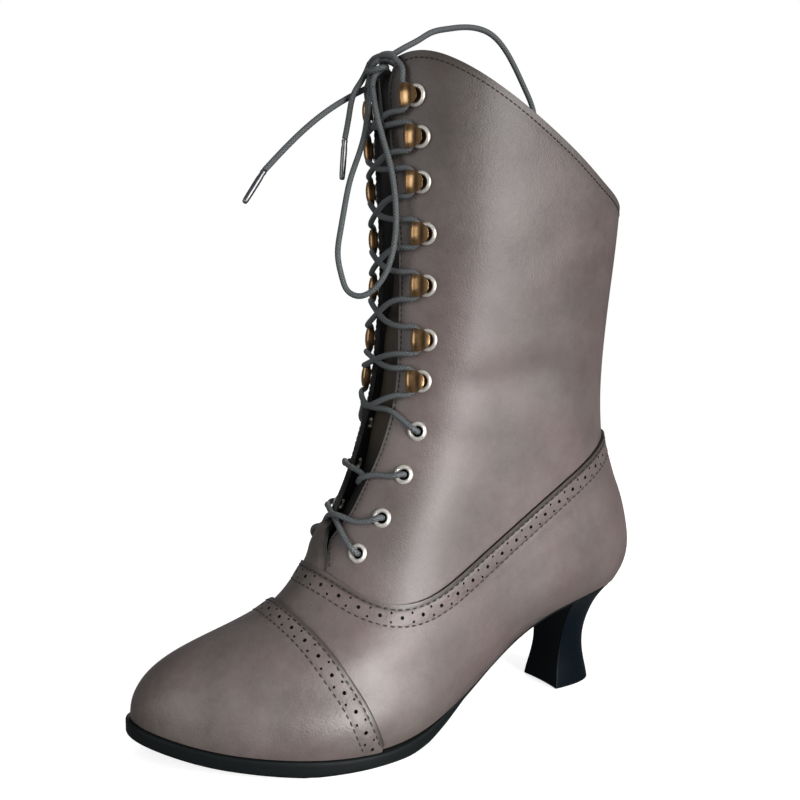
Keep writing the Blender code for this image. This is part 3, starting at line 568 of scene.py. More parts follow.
LEATHER = taupe_leather("taupe_leather")
LINING = worn("lining", rgb(0.008, 0.0075, 0.007), rgb(0.022, 0.020, 0.018), (0.6, 3.0, 0.6), (0.72, 0.2),
              0.1, cloud=18, Sheen_Weight=0.15)
CUT_EDGE = ((0.7, 3.0, 0.6), (0.62, 0.2), 0.12)
BLACK_EDGE = worn("black_edge", rgb(0.006, 0.005, 0.005), rgb(0.020, 0.017, 0.015), *CUT_EDGE)
PALE_EDGE = worn("pale_edge", rgb(0.17, 0.14, 0.125), rgb(0.30, 0.255, 0.235), *CUT_EDGE)
# Painted shade: a near-black underlay for hidden faces and the walls of punched holes, so the holes read
# dark
SHADE_UNDERLAY = worn("shade_underlay", rgb(0.004, 0.004, 0.004), rgb(0.010, 0.009, 0.008), *CUT_EDGE)
TONGUE_LEATHER = tongue_finish()
SCUFF = (2.4, 4.0, 0.65)
SOLE_BLACK = worn("sole_black", rgb(0.002, 0.003, 0.0036), rgb(0.005, 0.0075, 0.008), SCUFF, (0.45, 0.22),
                  0.07, cloud=26, Specular_IOR_Level=0.15)
HEEL_BLACK = worn("heel_black", rgb(0.002, 0.003, 0.0036), rgb(0.001, 0.006, 0.011), SCUFF, (0.3, 0.22),
                  0.07, cloud=26, Specular_IOR_Level=0.09)
NICKEL = metal_finish("nickel", rgb(0.72, 0.70, 0.63), rgb(0.92, 0.90, 0.83), 0.28, 0.65)
BRASS = metal_finish("brass", rgb(0.36, 0.20, 0.09), rgb(0.64, 0.42, 0.22), 0.17)
AGLET_METAL = metal_finish("aglet_metal", rgb(0.10, 0.105, 0.11), rgb(0.30, 0.31, 0.32), 0.3)
WAXED_BRAID = lace_finish()
DARK_THREAD = worn("dark_thread", rgb(0.012, 0.010, 0.009), rgb(0.034, 0.028, 0.024), (0.35,), (0.5, 0.2),
                   0.08)


# Working by hand: small helpers round Blender's own tools

def take(piece):
    """Selects one piece alone."""
    bpy.ops.object.select_all(action="DESELECT")
    piece.select_set(True)
    bpy.context.view_layer.objects.active = piece


def applied(piece, kind, **settings):
    """Adds a modifier and applies it."""
    take(piece)
    modifier = piece.modifiers.new(kind.lower(), kind)
    for name, value in settings.items():
        setattr(modifier, name, value)
    bpy.ops.object.modifier_apply(modifier=modifier.name)


def edited(piece, operate, **settings):
    """Runs one editing tool over a whole piece."""
    take(piece)
    bpy.ops.object.mode_set(mode="EDIT")
    bpy.ops.mesh.select_all(action="SELECT")
    operate(**settings)
    bpy.ops.object.mode_set(mode="OBJECT")


def merged(piece):
    """Merges points that lie together."""
    edited(piece, bpy.ops.mesh.remove_doubles, threshold=MERGE_WITHIN * MM)


def faced_outwards(piece):
    edited(piece, bpy.ops.mesh.normals_make_consistent, inside=False)


def bevelled(piece, width, segments, degrees):
    """Rounds the edges sharper than an angle."""
    applied(piece, "BEVEL", width=width * MM, segments=segments, limit_method="ANGLE",
            angle_limit=np.radians(degrees))


def linked(name, data):
    """A new object in the scene."""
    made = bpy.data.objects.new(name, data)
    bpy.context.scene.collection.objects.link(made)
    return made


def aimed(thing, at, to):
    at, to = Vector(at), Vector(to)
    thing.location = at
    thing.rotation_euler = (to - at).to_track_quat("-Z", "Y").to_euler()


def painted(piece, label, values):
    """Stores one number for each point, for the finishes to read."""
    layer = piece.data.attributes.new(label, "FLOAT", "POINT")
    layer.data.foreach_set("value", np.ascontiguousarray(values, np.float32))


def added(name, add, **settings):
    """A new primitive, selected alone."""
    bpy.ops.object.select_all(action="DESELECT")
    add(**settings)
    piece = bpy.context.object
    piece.name = piece.data.name = name
    return piece


def smoothed(piece, degrees=40):
    take(piece)
    bpy.ops.object.shade_smooth_by_angle(angle=np.radians(degrees))


def grid(name, rows, columns):
    """A grid primitive, with the row and column of each of its points."""
    piece = added(name, bpy.ops.mesh.primitive_grid_add, x_subdivisions=columns - 1,
                  y_subdivisions=rows - 1, size=1)
    flat = np.empty(len(piece.data.vertices) * 3)
    piece.data.vertices.foreach_get("co", flat)
    flat = flat.reshape(-1, 3)
    column = np.rint((flat[:, 0] + 0.5) * (columns - 1)).astype(int)
    row = np.rint((flat[:, 1] + 0.5) * (rows - 1)).astype(int)
    return piece, row, column


def loft(name, points, looks, attributes=None):
    """A grid shaped into a surface: points are rows of columns, in millimetres."""
    rows, columns = points.shape[:2]
    piece, row, column = grid(name, rows, columns)
    piece.data.vertices.foreach_set("co", metres(points[row, column]).ravel())
    for label, values in (attributes or {}).items():
        painted(piece, label, values[row, column])
    for look in looks:
        piece.data.materials.append(look)
    piece.data.update()
    return piece


def mesh_piece(name, points, faces, look):
    """A piece from arrays of points in millimetres, for cords and for many small things."""
    mesh = bpy.data.meshes.new(name)
    mesh.from_pydata(metres(points).tolist(), [], faces)
    mesh.materials.append(look)
    mesh.shade_smooth()
    return linked(name, mesh)


def dress(piece, slot, *nodes):
    """Lets a piece ride the boot and stand for its solids; the slot is not used."""
    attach(piece, "root")
    if nodes:
        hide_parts(*nodes)


def joined(pieces, name):
    """Several pieces as one."""
    take(pieces[0])
    for piece in pieces[1:]:
        piece.select_set(True)
    bpy.ops.object.join()
    pieces[0].name = pieces[0].data.name = name
    return pieces[0]


def near(points, line):
    """Distance from each point to a line of close points."""
    flat = points.reshape(-1, 3)
    found = np.empty(len(flat))
    for start in range(0, len(flat), 2000):
        gap = flat[start:start + 2000, None] - line[None]
        found[start:start + 2000] = np.sqrt((gap ** 2).sum(-1).min(1))
    return found.reshape(points.shape[:-1])


# Camera, light and floor

def make_camera():
    data = bpy.data.cameras.new("camera")
    data.lens = LENS
    data.sensor_width = 36
    data.clip_start = 0.01
    camera = linked("camera", data)
    aimed(camera, metres(CAMERA_AT), metres(CAMERA_TO))
    bpy.context.scene.camera = camera


def soft_light(name, at, to, size, power, tint, spread):
    data = bpy.data.lights.new(name, "AREA")
    data.shape = "RECTANGLE"
    data.size, data.size_y = size
    data.energy = power
    data.color = tint
    data.spread = np.radians(spread)
    aimed(linked(name, data), at, to)


def make_studio():
    world = bpy.data.worlds.new("studio")
    world.use_nodes = True
    back = world.node_tree.nodes["Background"]
    back.inputs["Color"].default_value = (1, 1, 1, 1)
    back.inputs["Strength"].default_value = WORLD_LIGHT
    bpy.context.scene.world = world
    bpy.context.scene.view_settings.view_transform = "Standard"
    for light in LIGHTS:
        soft_light(*light)
    floor_finish = Finish("pale_floor", Emission_Color=(1, 1, 1, 1), Emission_Strength=FLOOR_GLOW)
    cloud = floor_finish.noise(floor_finish.place(), 400, 2.0)
    floor_finish.colour(floor_finish.mix(cloud, rgb(0.84, 0.84, 0.84), rgb(0.88, 0.88, 0.88)))
    floor_finish.rough(0.8 + cloud * 0.1)
    floor = added("floor", bpy.ops.mesh.primitive_circle_add, vertices=96, radius=FLOOR_RADIUS,
                  fill_type="NGON")
    floor.data.materials.append(floor_finish.material)
    floor.visible_diffuse = False
    floor.visible_glossy = False
    wall_finish = Finish("white_backdrop", Emission_Color=(1, 1, 1, 1), Emission_Strength=1.0)
    wall_finish.colour(rgb(0.0, 0.0, 0.0))
    wall_finish.rough(1.0)
    wall = added("backdrop", bpy.ops.mesh.primitive_uv_sphere_add, segments=48, ring_count=24,
                 radius=BACKDROP_RADIUS)
    wall.data.materials.append(wall_finish.material)
    for ray in ("diffuse", "glossy", "transmission", "shadow", "volume_scatter"):
        setattr(wall, f"visible_{ray}", False)


# Cords

def smooth_path(points, spacing):
    """Evenly spaced points of a smooth curve through given ones."""
    points = np.asarray(points, float)
    walked = walk(points)
    curve = spline(np.column_stack([walked, points]))
    return curve(np.linspace(0, walked[-1], max(2, round(walked[-1] / spacing) + 1)))


def ring_faces(rings, sides):
    """Faces of a closed tube, ring by ring, and then of its two ends."""
    faces = []
    for row in range(rings - 1):
        for column in range(sides):
            after = (column + 1) % sides
            faces.append((row * sides + column, row * sides + after,
                          (row + 1) * sides + after, (row + 1) * sides + column))
    faces.append(tuple(range(sides))[::-1])
    faces.append(tuple(range((rings - 1) * sides, rings * sides)))
    return faces


def tube(name, path, radii, look, sides=14):
    """A closed tube along a path; its UV runs round the cord and along it in millimetres."""
    path = np.asarray(path, float)
    radii = np.broadcast_to(np.asarray(radii, float), len(path))
    ways = unit(np.gradient(path, axis=0))
    side = unit(np.cross(ways[0], (0.3, 0.5, 0.8)))
    rings = []
    angles = np.linspace(0, 2 * np.pi, sides, endpoint=False)
    for point, way, radius in zip(path, ways, radii):
        side = unit(side - way * side.dot(way))
        other = np.cross(way, side)
        rings.append(point + radius * (np.cos(angles)[:, None] * side + np.sin(angles)[:, None] * other))
    flat = []
    walked = walk(path)
    for low, high in zip(walked, walked[1:]):
        for column in range(sides):
            left, right = column / sides, (column + 1) / sides
            flat += [(left, low), (right, low), (right, high), (left, high)]
    flat += [(0.5, 0)] * sides + [(0.5, walked[-1])] * sides
    piece = mesh_piece(name, np.concatenate(rings), ring_faces(len(path), sides), look)
    layer = piece.data.uv_layers.new(name="UVMap")
    layer.data.foreach_set("uv", np.array(flat, np.float32).ravel())
    return piece


def aglet(name, start, stop):
    """A metal tip rolled onto the cord: slight lips at both ends and a seam pressed in the middle."""
    start, stop = np.array(start), np.array(stop)
    long = np.linalg.norm(stop - start)
    way = (stop - start) / long
    share = np.array([0, 0.015, 0.05, 0.10, 0.16, 0.22, 0.5, 0.8, 0.9, 0.96, 0.985, 1])
    size = np.array([0.86, 1.0, 1.0, 0.88, 0.9, 1.0, 1.0, 0.97, 0.93, 0.84, 0.7, 0.45])
    path = start + way * (GAP + share[:, None] * (long - GAP))
    return tube(name, path, AGLET / 2 * size, AGLET_METAL, 16)


def free_cord(name, node, points):
    """A loose run of the lace; its coarser route is worked out but not used."""
    cord = tube(name, smooth_path(points, CORD_STEP), LACE / 2, WAXED_BRAID)
    dress(cord, "waxed_cord", node)
    route = metres(smooth_path(points, ROUTE_STEP))


def make_cords():
    for name, points, tip in (("long", END_LONG, AGLET_LONG_TO), ("short", END_SHORT, AGLET_SHORT_TO)):
        metal = aglet(f"{name}_tip", points[-1], tip)
        dress(metal, "aglet_metal", f"aglet_{name}")
        free_cord(f"{name}_end_cord", f"lace_end_{name}", points)
    free_cord("back_loop_cord", "lace_loop_back", BACK_LOOP)
    free_cord("front_loop_cord", "lace_loop_front", FRONT_LOOP)


# Lines and small things set along them

def inset(turn, rise, depth, inwards=1, steps=8):
    """A line on the last at a distance inside a given one."""
    turn, rise = np.array(turn, float), np.array(rise, float)
    for _ in range(steps):
        way = unit(np.gradient(last(turn, rise), axis=0))
        across = across_at(turn, rise) / (2 * TICK)
        high, low = np.clip(rise + TICK, 0, 1), np.clip(rise - TICK, 0, 1)
        up = (last(turn, high) - last(turn, low)) / (high - low)[:, None]
        into = np.cross(way, unit(np.cross(across, up))) * inwards * depth / steps
        aa, ab, bb = ((p * q).sum(1) for p, q in ((across, across), (across, up), (up, up)))
        ia, ib = (into * across).sum(1), (into * up).sum(1)
        area = aa * bb - ab * ab
        turn = turn + (ia * bb - ib * ab) / area
        rise = np.clip(rise + (ib * aa - ia * ab) / area, 0, 1)
    return turn, rise


def spots(turn, rise, lift, pitch, start=0.5, trim=(0.0, 0.0), guide=None):
    """Places at an even pitch along a line or its guide, each with its way along and its way out."""
    line = skin(turn, rise, np.full(np.shape(turn), lift))
    paced = line if guide is None else last(*guide)
    walked = walk(paced)
    at = np.arange(trim[0] + start * pitch, walked[-1] - trim[1], pitch)
    point, ahead, behind = (np.stack([np.interp(at + step, walked, line[:, i]) for i in range(3)], -1)
                            for step in (0, 0.4, -0.4))
    way = unit(ahead - behind)
    out = unit(outward(np.interp(at, walked, turn), np.interp(at, walked, rise)))
    return point, way, unit(out - way * (out * way).sum(1, keepdims=True))


def set_along(name, places, shape, faces, look):
    """One small shape copied to many places, as one mesh."""
    point, way, out = (np.concatenate(part) for part in zip(*places))
    side = np.cross(out, way)
    x, y, z = np.moveaxis(np.asarray(shape, float), -1, 0)
    cloud = (point[:, None] + x[:, None] * way[:, None] + y[:, None] * side[:, None]
             + z[:, None] * out[:, None])
    count = len(shape)
    listed = [tuple(corner + i * count for corner in face) for i in range(len(point)) for face in faces]
    return mesh_piece(name, cloud.reshape(-1, 3), listed, look)


def rod(lengths, radii, sides, upright=False):
    """Points and faces of a small closed rod with rings at the given lengths."""
    angles = np.linspace(0, 2 * np.pi, sides, endpoint=False)
    rings = []
    for length, radius in zip(lengths, radii):
        ring = np.stack([np.full(sides, length), radius * np.cos(angles), radius * np.sin(angles)], -1)
        rings.append(ring[:, [1, 2, 0]] if upright else ring)
    return np.concatenate(rings), ring_faces(len(lengths), sides)


def cut(piece, places, radius, reach, sides, look):
    """Drills round holes at many places."""
    cutter = set_along("cutter", places, *rod(reach, (radius, radius), sides, upright=True), look)
    applied(piece, "BOOLEAN", operation="DIFFERENCE", object=cutter, solver="MANIFOLD")
    bpy.data.objects.remove(cutter)


def punched(piece, turn, rise, lift, pitch, phase):
    """Cuts the band of big holes and pairs of small ones along an edge."""
    rows = [(BIG_ROW, BIG_HOLE, phase)]
    rows += [(depth, SMALL_HOLE, (phase + 0.5) % 1) for depth in SMALL_ROWS]
    guide = inset(turn, rise, BIG_ROW)
    for depth, size, start in rows:
        places = [spots(*inset(turn, rise, depth), lift, pitch, start, guide=guide)]
        cut(piece, places, size / 2, PUNCH_REACH, 12, SHADE_UNDERLAY)


def groove(distance, centre, width, depth):
    return -depth * bell(distance - centre, width)


# Leather pieces

UPPER_COLUMNS = 180
LOW_ROWS = 18
HIGH_ROWS = 100
BAND_COLUMNS = 300
LOBE_AT = (90.5, -4.0)
LOBE_LIFT = 2.8
TONGUE_CORNER = (9.5, 3.9)
GALOSH_START = -0.15
# Centre (along, height) of the painted shade patch that damps a highlight on the lower quarter
GLARE_AT = (113.0, 83.0)

# Creases of the shaft: both ends as (along, height), half width and rise
CREASES = (((124, 147), (182, 156), 7.0, -0.6), ((132, 163), (205, 170), 7.5, 0.35),
           ((120, 132), (196, 139), 7.5, 0.45), ((150, 196), (182, 214), 8.0, -0.35))


def walled(piece, thick):
    """Gives a leather sheet its thickness inwards."""
    merged(piece)
    applied(piece, "SOLIDIFY", thickness=thick * MM, offset=-1, use_even_offset=True,
            material_offset=1, material_offset_rim=2)


def paint_faces(piece, rows, columns, zone):
    """Gives each face of a fresh grid the finish numbered in zone, by its row and column."""
    corners = np.empty(len(piece.data.polygons) * 4, int)
    piece.data.polygons.foreach_get("vertices", corners)
    low = corners.reshape(-1, 4).min(1)
    row, column = np.divmod(low, columns)
    piece.data.polygons.foreach_set("material_index", zone[row, column].astype(np.int32))


def creased(points):
    """Soft troughs and ridges of the worn shaft, fading towards their ends."""
    total = 0 * points[..., 0]
    for start, stop, width, rise in CREASES:
        start, way = np.array(start), np.subtract(stop, start)
        gap = points[..., 1:] - start
        share = (gap @ way) / (way @ way)
        across = (gap[..., 0] * way[1] - gap[..., 1] * way[0]) / np.hypot(*way)
        total = total + rise * bell(across, width) * bell(share - 0.5, 0.5, 4)
    return total


def inner_lobe(turn, rise):
    """How far the foot of the inner quarter stands out beside the throat's seam."""
    height = level_at(rise)[..., 1]
    side = (turn - 2) / turn_of(1.0, rise)
    across = np.where(side > LOBE_AT[1], 1.0, bell(side - LOBE_AT[1], 8.0))
    bulge = LOBE_LIFT * (0.35 * swell(height, 62, 73) + 0.65 * swell(height, 74, 82)) * across
    bulge = bulge * swell(LOBE_AT[0] - height, 0, 3)
    return np.where(turn > 1.5, bulge, 0.0)


def make_upper():
    around = np.linspace(0, 1, UPPER_COLUMNS + 1)
    turn = SEAM + 2 * around
    for _ in range(4):
        outer, inner = throat_edges(galosh_rise(turn))
        turn = outer + around * (2 + inner - outer)
    edge = galosh_rise(turn)
    low_share = np.linspace(0, 1, LOW_ROWS + 1)[:, None] ** 0.8
    throat_share = (rise_of(THROAT_FOOT) - edge[0]) / (1 - edge[0])
    share = np.concatenate([np.linspace(0, throat_share, 7)[1:],
                            np.linspace(throat_share, 1, HIGH_ROWS)[1:]])[:, None]
    high_rise = edge + (1 - edge) * share
    outer, inner = throat_edges(high_rise)
    turns = np.concatenate([turn + 0 * low_share, outer + around * (2 + inner - outer)])
    rises = np.concatenate([edge * low_share, high_rise])
    points = last(turns, rises)
    rows, columns = turns.shape
    collar = near(points, points[-1])
    throat = np.minimum(near(points, points[LOW_ROWS:, 0]), near(points, points[LOW_ROWS:, -1]))
    relief = groove(collar, COLLAR_ROW, 0.7, 0.22) + groove(throat, THROAT_ROW, 0.6, 0.15)
    relief = relief + inner_lobe(turns, rises) + creased(points)
    height = points[..., 2]
    points = points + relief[..., None] * outward(turns, rises)
    # Painted shade and wear: the edges, the front of the shaft, its top, and the bend over the foot
    shade_and_wear = 0.30 * bell(collar, 3.5, 1) + 0.28 * bell(throat, 3.0, 1)
    shade_and_wear += 0.42 * swell(height, 215, 268) * bell(throat, 34)
    shade_and_wear += 0.14 * swell(height, 225, 285) + 0.10 * swell(height, 120, 190)
    shade_and_wear += 0.13 * (1 - swell(height, 95, 125)) * bell(throat, 42)
    # Painted shade: a patch that damps the highlight on the lower quarter
    shade_and_wear += 0.26 * bell(np.hypot(points[..., 1] - GLARE_AT[0], height - GLARE_AT[1]), 25)
    # Painted near black along the inner quarter's throat edge above the lobe: dark lining and painted shade
    inner_edge = np.where(turns > 1.5, bell(throat, 7.0, 4), 0.0)
    shade_and_wear += inner_edge * swell(level_at(rises)[..., 1], LOBE_AT[0] - 2, LOBE_AT[0] + 1)
    olive = swell(height, 190, 250) * (1 - swell(throat, 40, 75))
    paint = {"shade_and_wear": np.clip(shade_and_wear, 0, 1), "olive": olive}
    piece = loft("upper_leather", points, (LEATHER, LINING, LEATHER, SHADE_UNDERLAY, LINING, LINING), paint)
    zone = np.zeros((rows - 1, columns - 1), int)
    # The rows under the galosh take the painted shade underlay, seen through its holes
    zone[:LOW_ROWS] = 3
    paint_faces(piece, rows, columns, zone)
    walled(piece, WALL)
    places = []
    for seat in [seat_frame(height, sign * side) for height, side in EYELETS for sign in (1, -1)]:
        spot = np.array(seat.translation) / MM + (ORIGIN_SIDE, ORIGIN_ALONG, 0)
        places.append((spot[None], np.array(seat.col[0])[None, :3], np.array(seat.col[2])[None, :3]))
    cut(piece, places, EYELET_HOLE, EYELET_REACH, 24, LINING)
    smoothed(piece, 50)
    dress(piece, "taupe_leather", "upper")


def band_relief(distance):
    """Height of the stitched and punched band by distance from its edge."""
    puff = 0.14 * bell(distance - 5.5, 3.0, 4)
    return puff + sum(groove(distance, row, 0.6, 0.16) for row in STITCH_ROWS)


def band_shares(top_rows, top, rows):
    """Shares of a column from the feather line to the edge, close together at the edge."""
    down = np.concatenate([np.linspace(0, top, top_rows), np.linspace(top, 1, rows)[1:]])
    return 1 - down[::-1, None]


def band_sheet(turn, edge, shares, lift, skive=0.0):
    """A sheet up to its edge: flat points, their distance from the edge, and shaped points."""
    rises = edge * shares
    turns = turn + 0 * rises
    flat = skin(turns, rises, np.full(rises.shape, lift))
    distance = near(flat, flat[-1])
    relief = band_relief(distance) - skive * bell(distance, SKIVE_WIDE, 1)
    return flat, distance, skin(turns, rises, lift + relief)


def banded(piece, node, thick, line, lift, holes, trim=(0.0, 0.0)):
    """Walls, punches and dresses a sheet, and gives the places of its stitches."""
    walled(piece, thick)
    punched(piece, *line, lift, *holes)
    smoothed(piece)
    dress(piece, "taupe_leather", node)
    lift -= THREAD_SUNK
    return [spots(*inset(*line, row), lift, STITCH_PITCH, trim=trim) for row in STITCH_ROWS]


def make_galosh():
    turn = GALOSH_START + np.linspace(0, 2, BAND_COLUMNS + 1)
    edge = galosh_rise(turn)
    lift = GAP + GALOSH_THICK
    flat, distance, points = band_sheet(turn, edge, band_shares(26, 0.2, 26), lift)
    low = flat[..., 2] - sole_top(flat[..., 1])
    back = swell(flat[..., 1], 95, 125)
    # Painted shade and wear: the edge margin, the first stitch groove, near the sole, the vamp top and the
    # back
    shade_and_wear = (0.35 + 0.4 * back) * bell(distance, 1.7) + 0.26 * bell(low, 7.0, 1)
    shade_and_wear += 0.7 * bell(distance - STITCH_ROWS[0], 0.75)
    shade_and_wear += 0.16 * swell(-flat[..., 1], -104, -86) * swell(flat[..., 2], 42, 55)
    shade_and_wear += 0.11 * back * (1 - swell(flat[..., 1], 160, 200))
    looks = (LEATHER, SHADE_UNDERLAY, BLACK_EDGE, SHADE_UNDERLAY, SHADE_UNDERLAY, SHADE_UNDERLAY)
    piece = loft("galosh_leather", points, looks, {"shade_and_wear": np.clip(shade_and_wear, 0, 1)})
    rows, columns = distance.shape
    middle = (flat[:-1, :-1] + flat[1:, 1:]) / 2
    covered = middle[..., 1] < cap_along(np.clip(middle[..., 2], 0, 64)) - 2.5
    # Faces under the toe cap take the painted shade underlay, seen through its holes
    paint_faces(piece, rows, columns, np.where(covered, 3, 0))
    return banded(piece, "galosh", GALOSH_THICK, (turn, edge), lift, GALOSH_HOLES, (2, 2))


def make_toe_cap():
    reach = np.linspace(0, 0.6, 601)
    feather = last(reach, 0 * reach)
    end = np.interp(0, feather[:, 1] - cap_along(feather[:, 2]), reach)
    turn = end * np.sin(np.radians(np.linspace(-80, 80, 161)))
    edge = cap_rise(turn)
    lift = GAP + GALOSH_THICK + CAP_GAP + CAP_THICK
    flat, distance, points = band_sheet(turn, edge, band_shares(30, 0.25, 30), lift, CAP_SKIVE)
    low = flat[..., 2] - sole_top(flat[..., 1])
    tip = bell(np.clip(flat[..., 1], 0, None), 22, 1)
    # Painted shade and wear: darker near the sole, towards the tip and in the strip along the edge
    shade_and_wear = 0.18 * bell(low, 7.0, 1) + 0.22 * tip + 0.75 * bell(distance, 1.9, 4)
    looks = (LEATHER, SHADE_UNDERLAY, PALE_EDGE)
    piece = loft("toe_cap_leather", points, looks, {"shade_and_wear": np.clip(shade_and_wear, 0, 1)})
    return banded(piece, "toe_cap", CAP_THICK, (turn, edge), lift, CAP_HOLES)


def make_stitches(rows):
    """All the seams: dark thread, one joined mesh."""
    around = np.linspace(0, 1, 600)
    outer, inner = throat_edges(np.ones(1))
    collar = outer + around * (2 + inner - outer)
    fine = [spots(*inset(collar, np.ones(600), COLLAR_ROW), -FINE_SUNK, FINE_PITCH, trim=(3, 3))]
    start = galosh_rise(np.array([SEAM]))[0] + 0.004
    rise = np.linspace(start, 1, 700)
    for edge, inwards in zip(throat_edges(rise), (1, -1)):
        fine.append(spots(*inset(edge, rise, THROAT_ROW, inwards), -FINE_SUNK, FINE_PITCH, trim=(1, 3)))
    pieces = []
    for places, long in ((rows, STITCH_LONG), (fine, FINE_LONG)):
        half = long / 2
        shape, faces = rod((-half, -half * 0.8, 0, half * 0.8, half),
                           (0.1, THREAD * 0.42, THREAD * 0.5, THREAD * 0.42, 0.1), 6)
        pieces.append(set_along("stitches", places, shape, faces, DARK_THREAD))
    dress(joined(pieces, "seam_stitches"), "waxed_cord")


# Sole, heel, tongue and insole

def feather_ring(turn, grow):
    """Loop of the feather line pushed out by grow(along)."""
    edge = last(turn, 0 * turn)
    tangent = across_at(turn, 0 * turn)
    normal = unit(np.stack([tangent[:, 1], -tangent[:, 0]], -1))
    edge[:, :2] += normal * np.asarray(grow(edge[:, 1]))[:, None]
    return edge


# Rings of a foot-shaped plate: share of the way to the rim, corners inside it, level and drop in corners
PLATE_STEPS = (
    (0.0, 1.0, 0, 0), (0.55, 1.0, 0, 0), (0.86, 1.0, 0, 0), (1.0, 1.0, 0, 0), (1.0, 0.55, 0, 0.12),
    (1.0, 0.2, 0, 0.45), (1.0, 0.0, 0, 1.0), (1.0, 0.0, 0.33, 0), (1.0, 0.0, 0.67, 0), (1.0, 0.0, 1, -1.0),
    (1.0, 0.2, 1, -0.45), (1.0, 0.55, 1, -0.12), (1.0, 1.0, 1, 0), (0.86, 1.0, 1, 0), (0.55, 1.0, 1, 0),
    (0.0, 1.0, 1, 0),
)


def plate(name, grow, heights, corner, look):
    """A flat piece in the shape of the foot, its rim rounded, from spine to rim to spine."""
    turn = np.linspace(0, 2, 261)
    rows = []
    for share, inside, level, drop in PLATE_STEPS:
        rim = feather_ring(turn, lambda along: grow(along) - inside * corner)
        spine = (rim + rim[::-1]) / 2
        ring = spine + (rim - spine) * share
        low, high = heights(ring[:, 1])
        room = np.minimum(1, (high - low) / (3 * corner))
        ring[:, 2] = low + (high - low) * level + drop * corner * room
        rows.append(ring)
    piece = loft(name, np.array(rows), (look,))
    merged(piece)
    faced_outwards(piece)
    smoothed(piece, 60)
    return piece


def make_sole():
    def heights(along):
        return sole_bottom(along), sole_top(along) - GAP
    piece = plate("sole", sole_ledge, heights, SOLE_EDGE_ROUND, SOLE_BLACK)
    dress(piece, "sole_black", "outsole")


def make_insole():
    def heights(along):
        return sole_top(along) + GAP, sole_top(along) + GAP + INSOLE_THICK
    piece = plate("inner_sole", lambda along: 0 * along - INSOLE_INSET, heights, 0.5, LINING)
    dress(piece, "lining", "insole")


def make_heel():
    sweep = np.radians(np.linspace(90, -90, 97))
    swing = np.sign(np.sin(sweep)) * np.abs(np.sin(sweep)) ** (2 / HEEL_FULLNESS)
    reach = np.abs(np.cos(sweep)) ** (2 / HEEL_FULLNESS)
    breast = np.linspace(-1, 1, 33)[1:]
    swing = np.concatenate([swing, breast])
    reach = np.concatenate([reach, 0.035 * (1 - breast ** 2)])
    shape = spline(HEEL)
    # Rings as (height, share of the outline): closed foot, rounded rim, side and closed seat
    heights = [(0, 0.0), (0, 0.5), (0, 0.94), (0.12, 0.975), (0.5, 1.0)]
    heights += [(height, 1.0) for height in np.linspace(1.2, HEEL_SEAT, 44)]
    heights += [(HEEL_SEAT, 0.5), (HEEL_SEAT, 0.0)]
    rows = []
    for height, share in heights:
        front, back, half = shape(height)
        side = half * swing * share
        along = front + (back - front) * reach
        along = along.mean() + (along - along.mean()) * share
        seat = sole_bottom(along) - GAP
        rows.append(np.stack([side, along, seat * height / HEEL_SEAT], -1))
    piece = loft("heel_block", np.array(rows), (HEEL_BLACK,))
    merged(piece)
    faced_outwards(piece)
    bevelled(piece, 0.5, 3, 50)
    smoothed(piece, 35)
    dress(piece, "heel_black", "heel")


def make_tongue():
    height = np.linspace(TONGUE[0][0], TONGUE[-1][0], 110)[:, None]
    across = np.linspace(-1, 1, 48)
    half, depth = np.moveaxis(tongue_at(height), -1, 0)
    rise = rise_of(height)
    turn = turn_of(half * across, rise)
    wave = 0.5 * np.sin(height * 0.16 + across * 1.1) + 0.35 * np.sin(height * 0.071 - across * 2.3 + 1)
    rim = np.clip((1 - np.abs(across)) / 0.15, 0, 1)
    corner = swell(height, 238, 276) * swell(-across, -0.15, 0.3)
    points = skin(turn, rise + 0 * turn, -depth + wave * rim * (1 - corner) + TONGUE_CORNER[1] * corner)
    points[..., 2] += TONGUE_CORNER[0] * corner
    # Painted shade: near black low in the throat and again higher up between the hooks
    throat_shade = np.maximum(1 - swell(height, 116, 132), 0.9 * swell(height, 176, 200)) + 0 * turn
    piece = loft("tongue_piece", points, (TONGUE_LEATHER,) * 3, {"throat_shade": throat_shade})
    applied(piece, "SOLIDIFY", thickness=TONGUE_THICK * MM, offset=-1)
    bevelled(piece, 0.35, 2, 60)
    smoothed(piece, 60)
    dress(piece, "tongue_leather", "tongue")


# Lacing metal

def seat_frame(front_height, side):
    """Matrix of a place on the upper: X towards the heel, Z outwards."""
    rise = rise_of(front_height)
    turn = turn_of(side, rise)
    normal = Vector(outward(turn, rise))
    ahead = Vector(np.sign(side) * across_at(turn, rise)).normalized()
    ahead = (ahead - normal * ahead.dot(normal)).normalized()
    place = Matrix((ahead, normal.cross(ahead), normal)).transposed().to_4x4()
    place.translation = Vector(metres(skin(turn, rise, 0.0)))
    return place


def turned(name, profile, look, segments=40):
    """A ring drawn out from a circle along a profile of (radius, height), and closed on itself."""
    radius, height = profile[0]
    piece = added(name, bpy.ops.mesh.primitive_circle_add, vertices=segments, radius=radius * MM)
    bpy.ops.object.mode_set(mode="EDIT")
    bpy.ops.mesh.select_all(action="SELECT")
    bpy.ops.transform.translate(value=(0, 0, height * MM))
    for wide, high in (*profile[1:], profile[0]):
        move = {"value": (0, 0, (high - height) * MM)}
        bpy.ops.mesh.extrude_region_move(TRANSFORM_OT_translate=move)
        grow = wide / radius
        bpy.ops.transform.resize(value=(grow, grow, 1), center_override=(0, 0, high * MM))
        radius, height = wide, high
    bpy.ops.mesh.select_all(action="SELECT")
    bpy.ops.mesh.remove_doubles(threshold=0.002 * MM)
    bpy.ops.mesh.normals_make_consistent(inside=False)
    bpy.ops.object.mode_set(mode="OBJECT")
    piece.data.materials.append(look)
    return piece


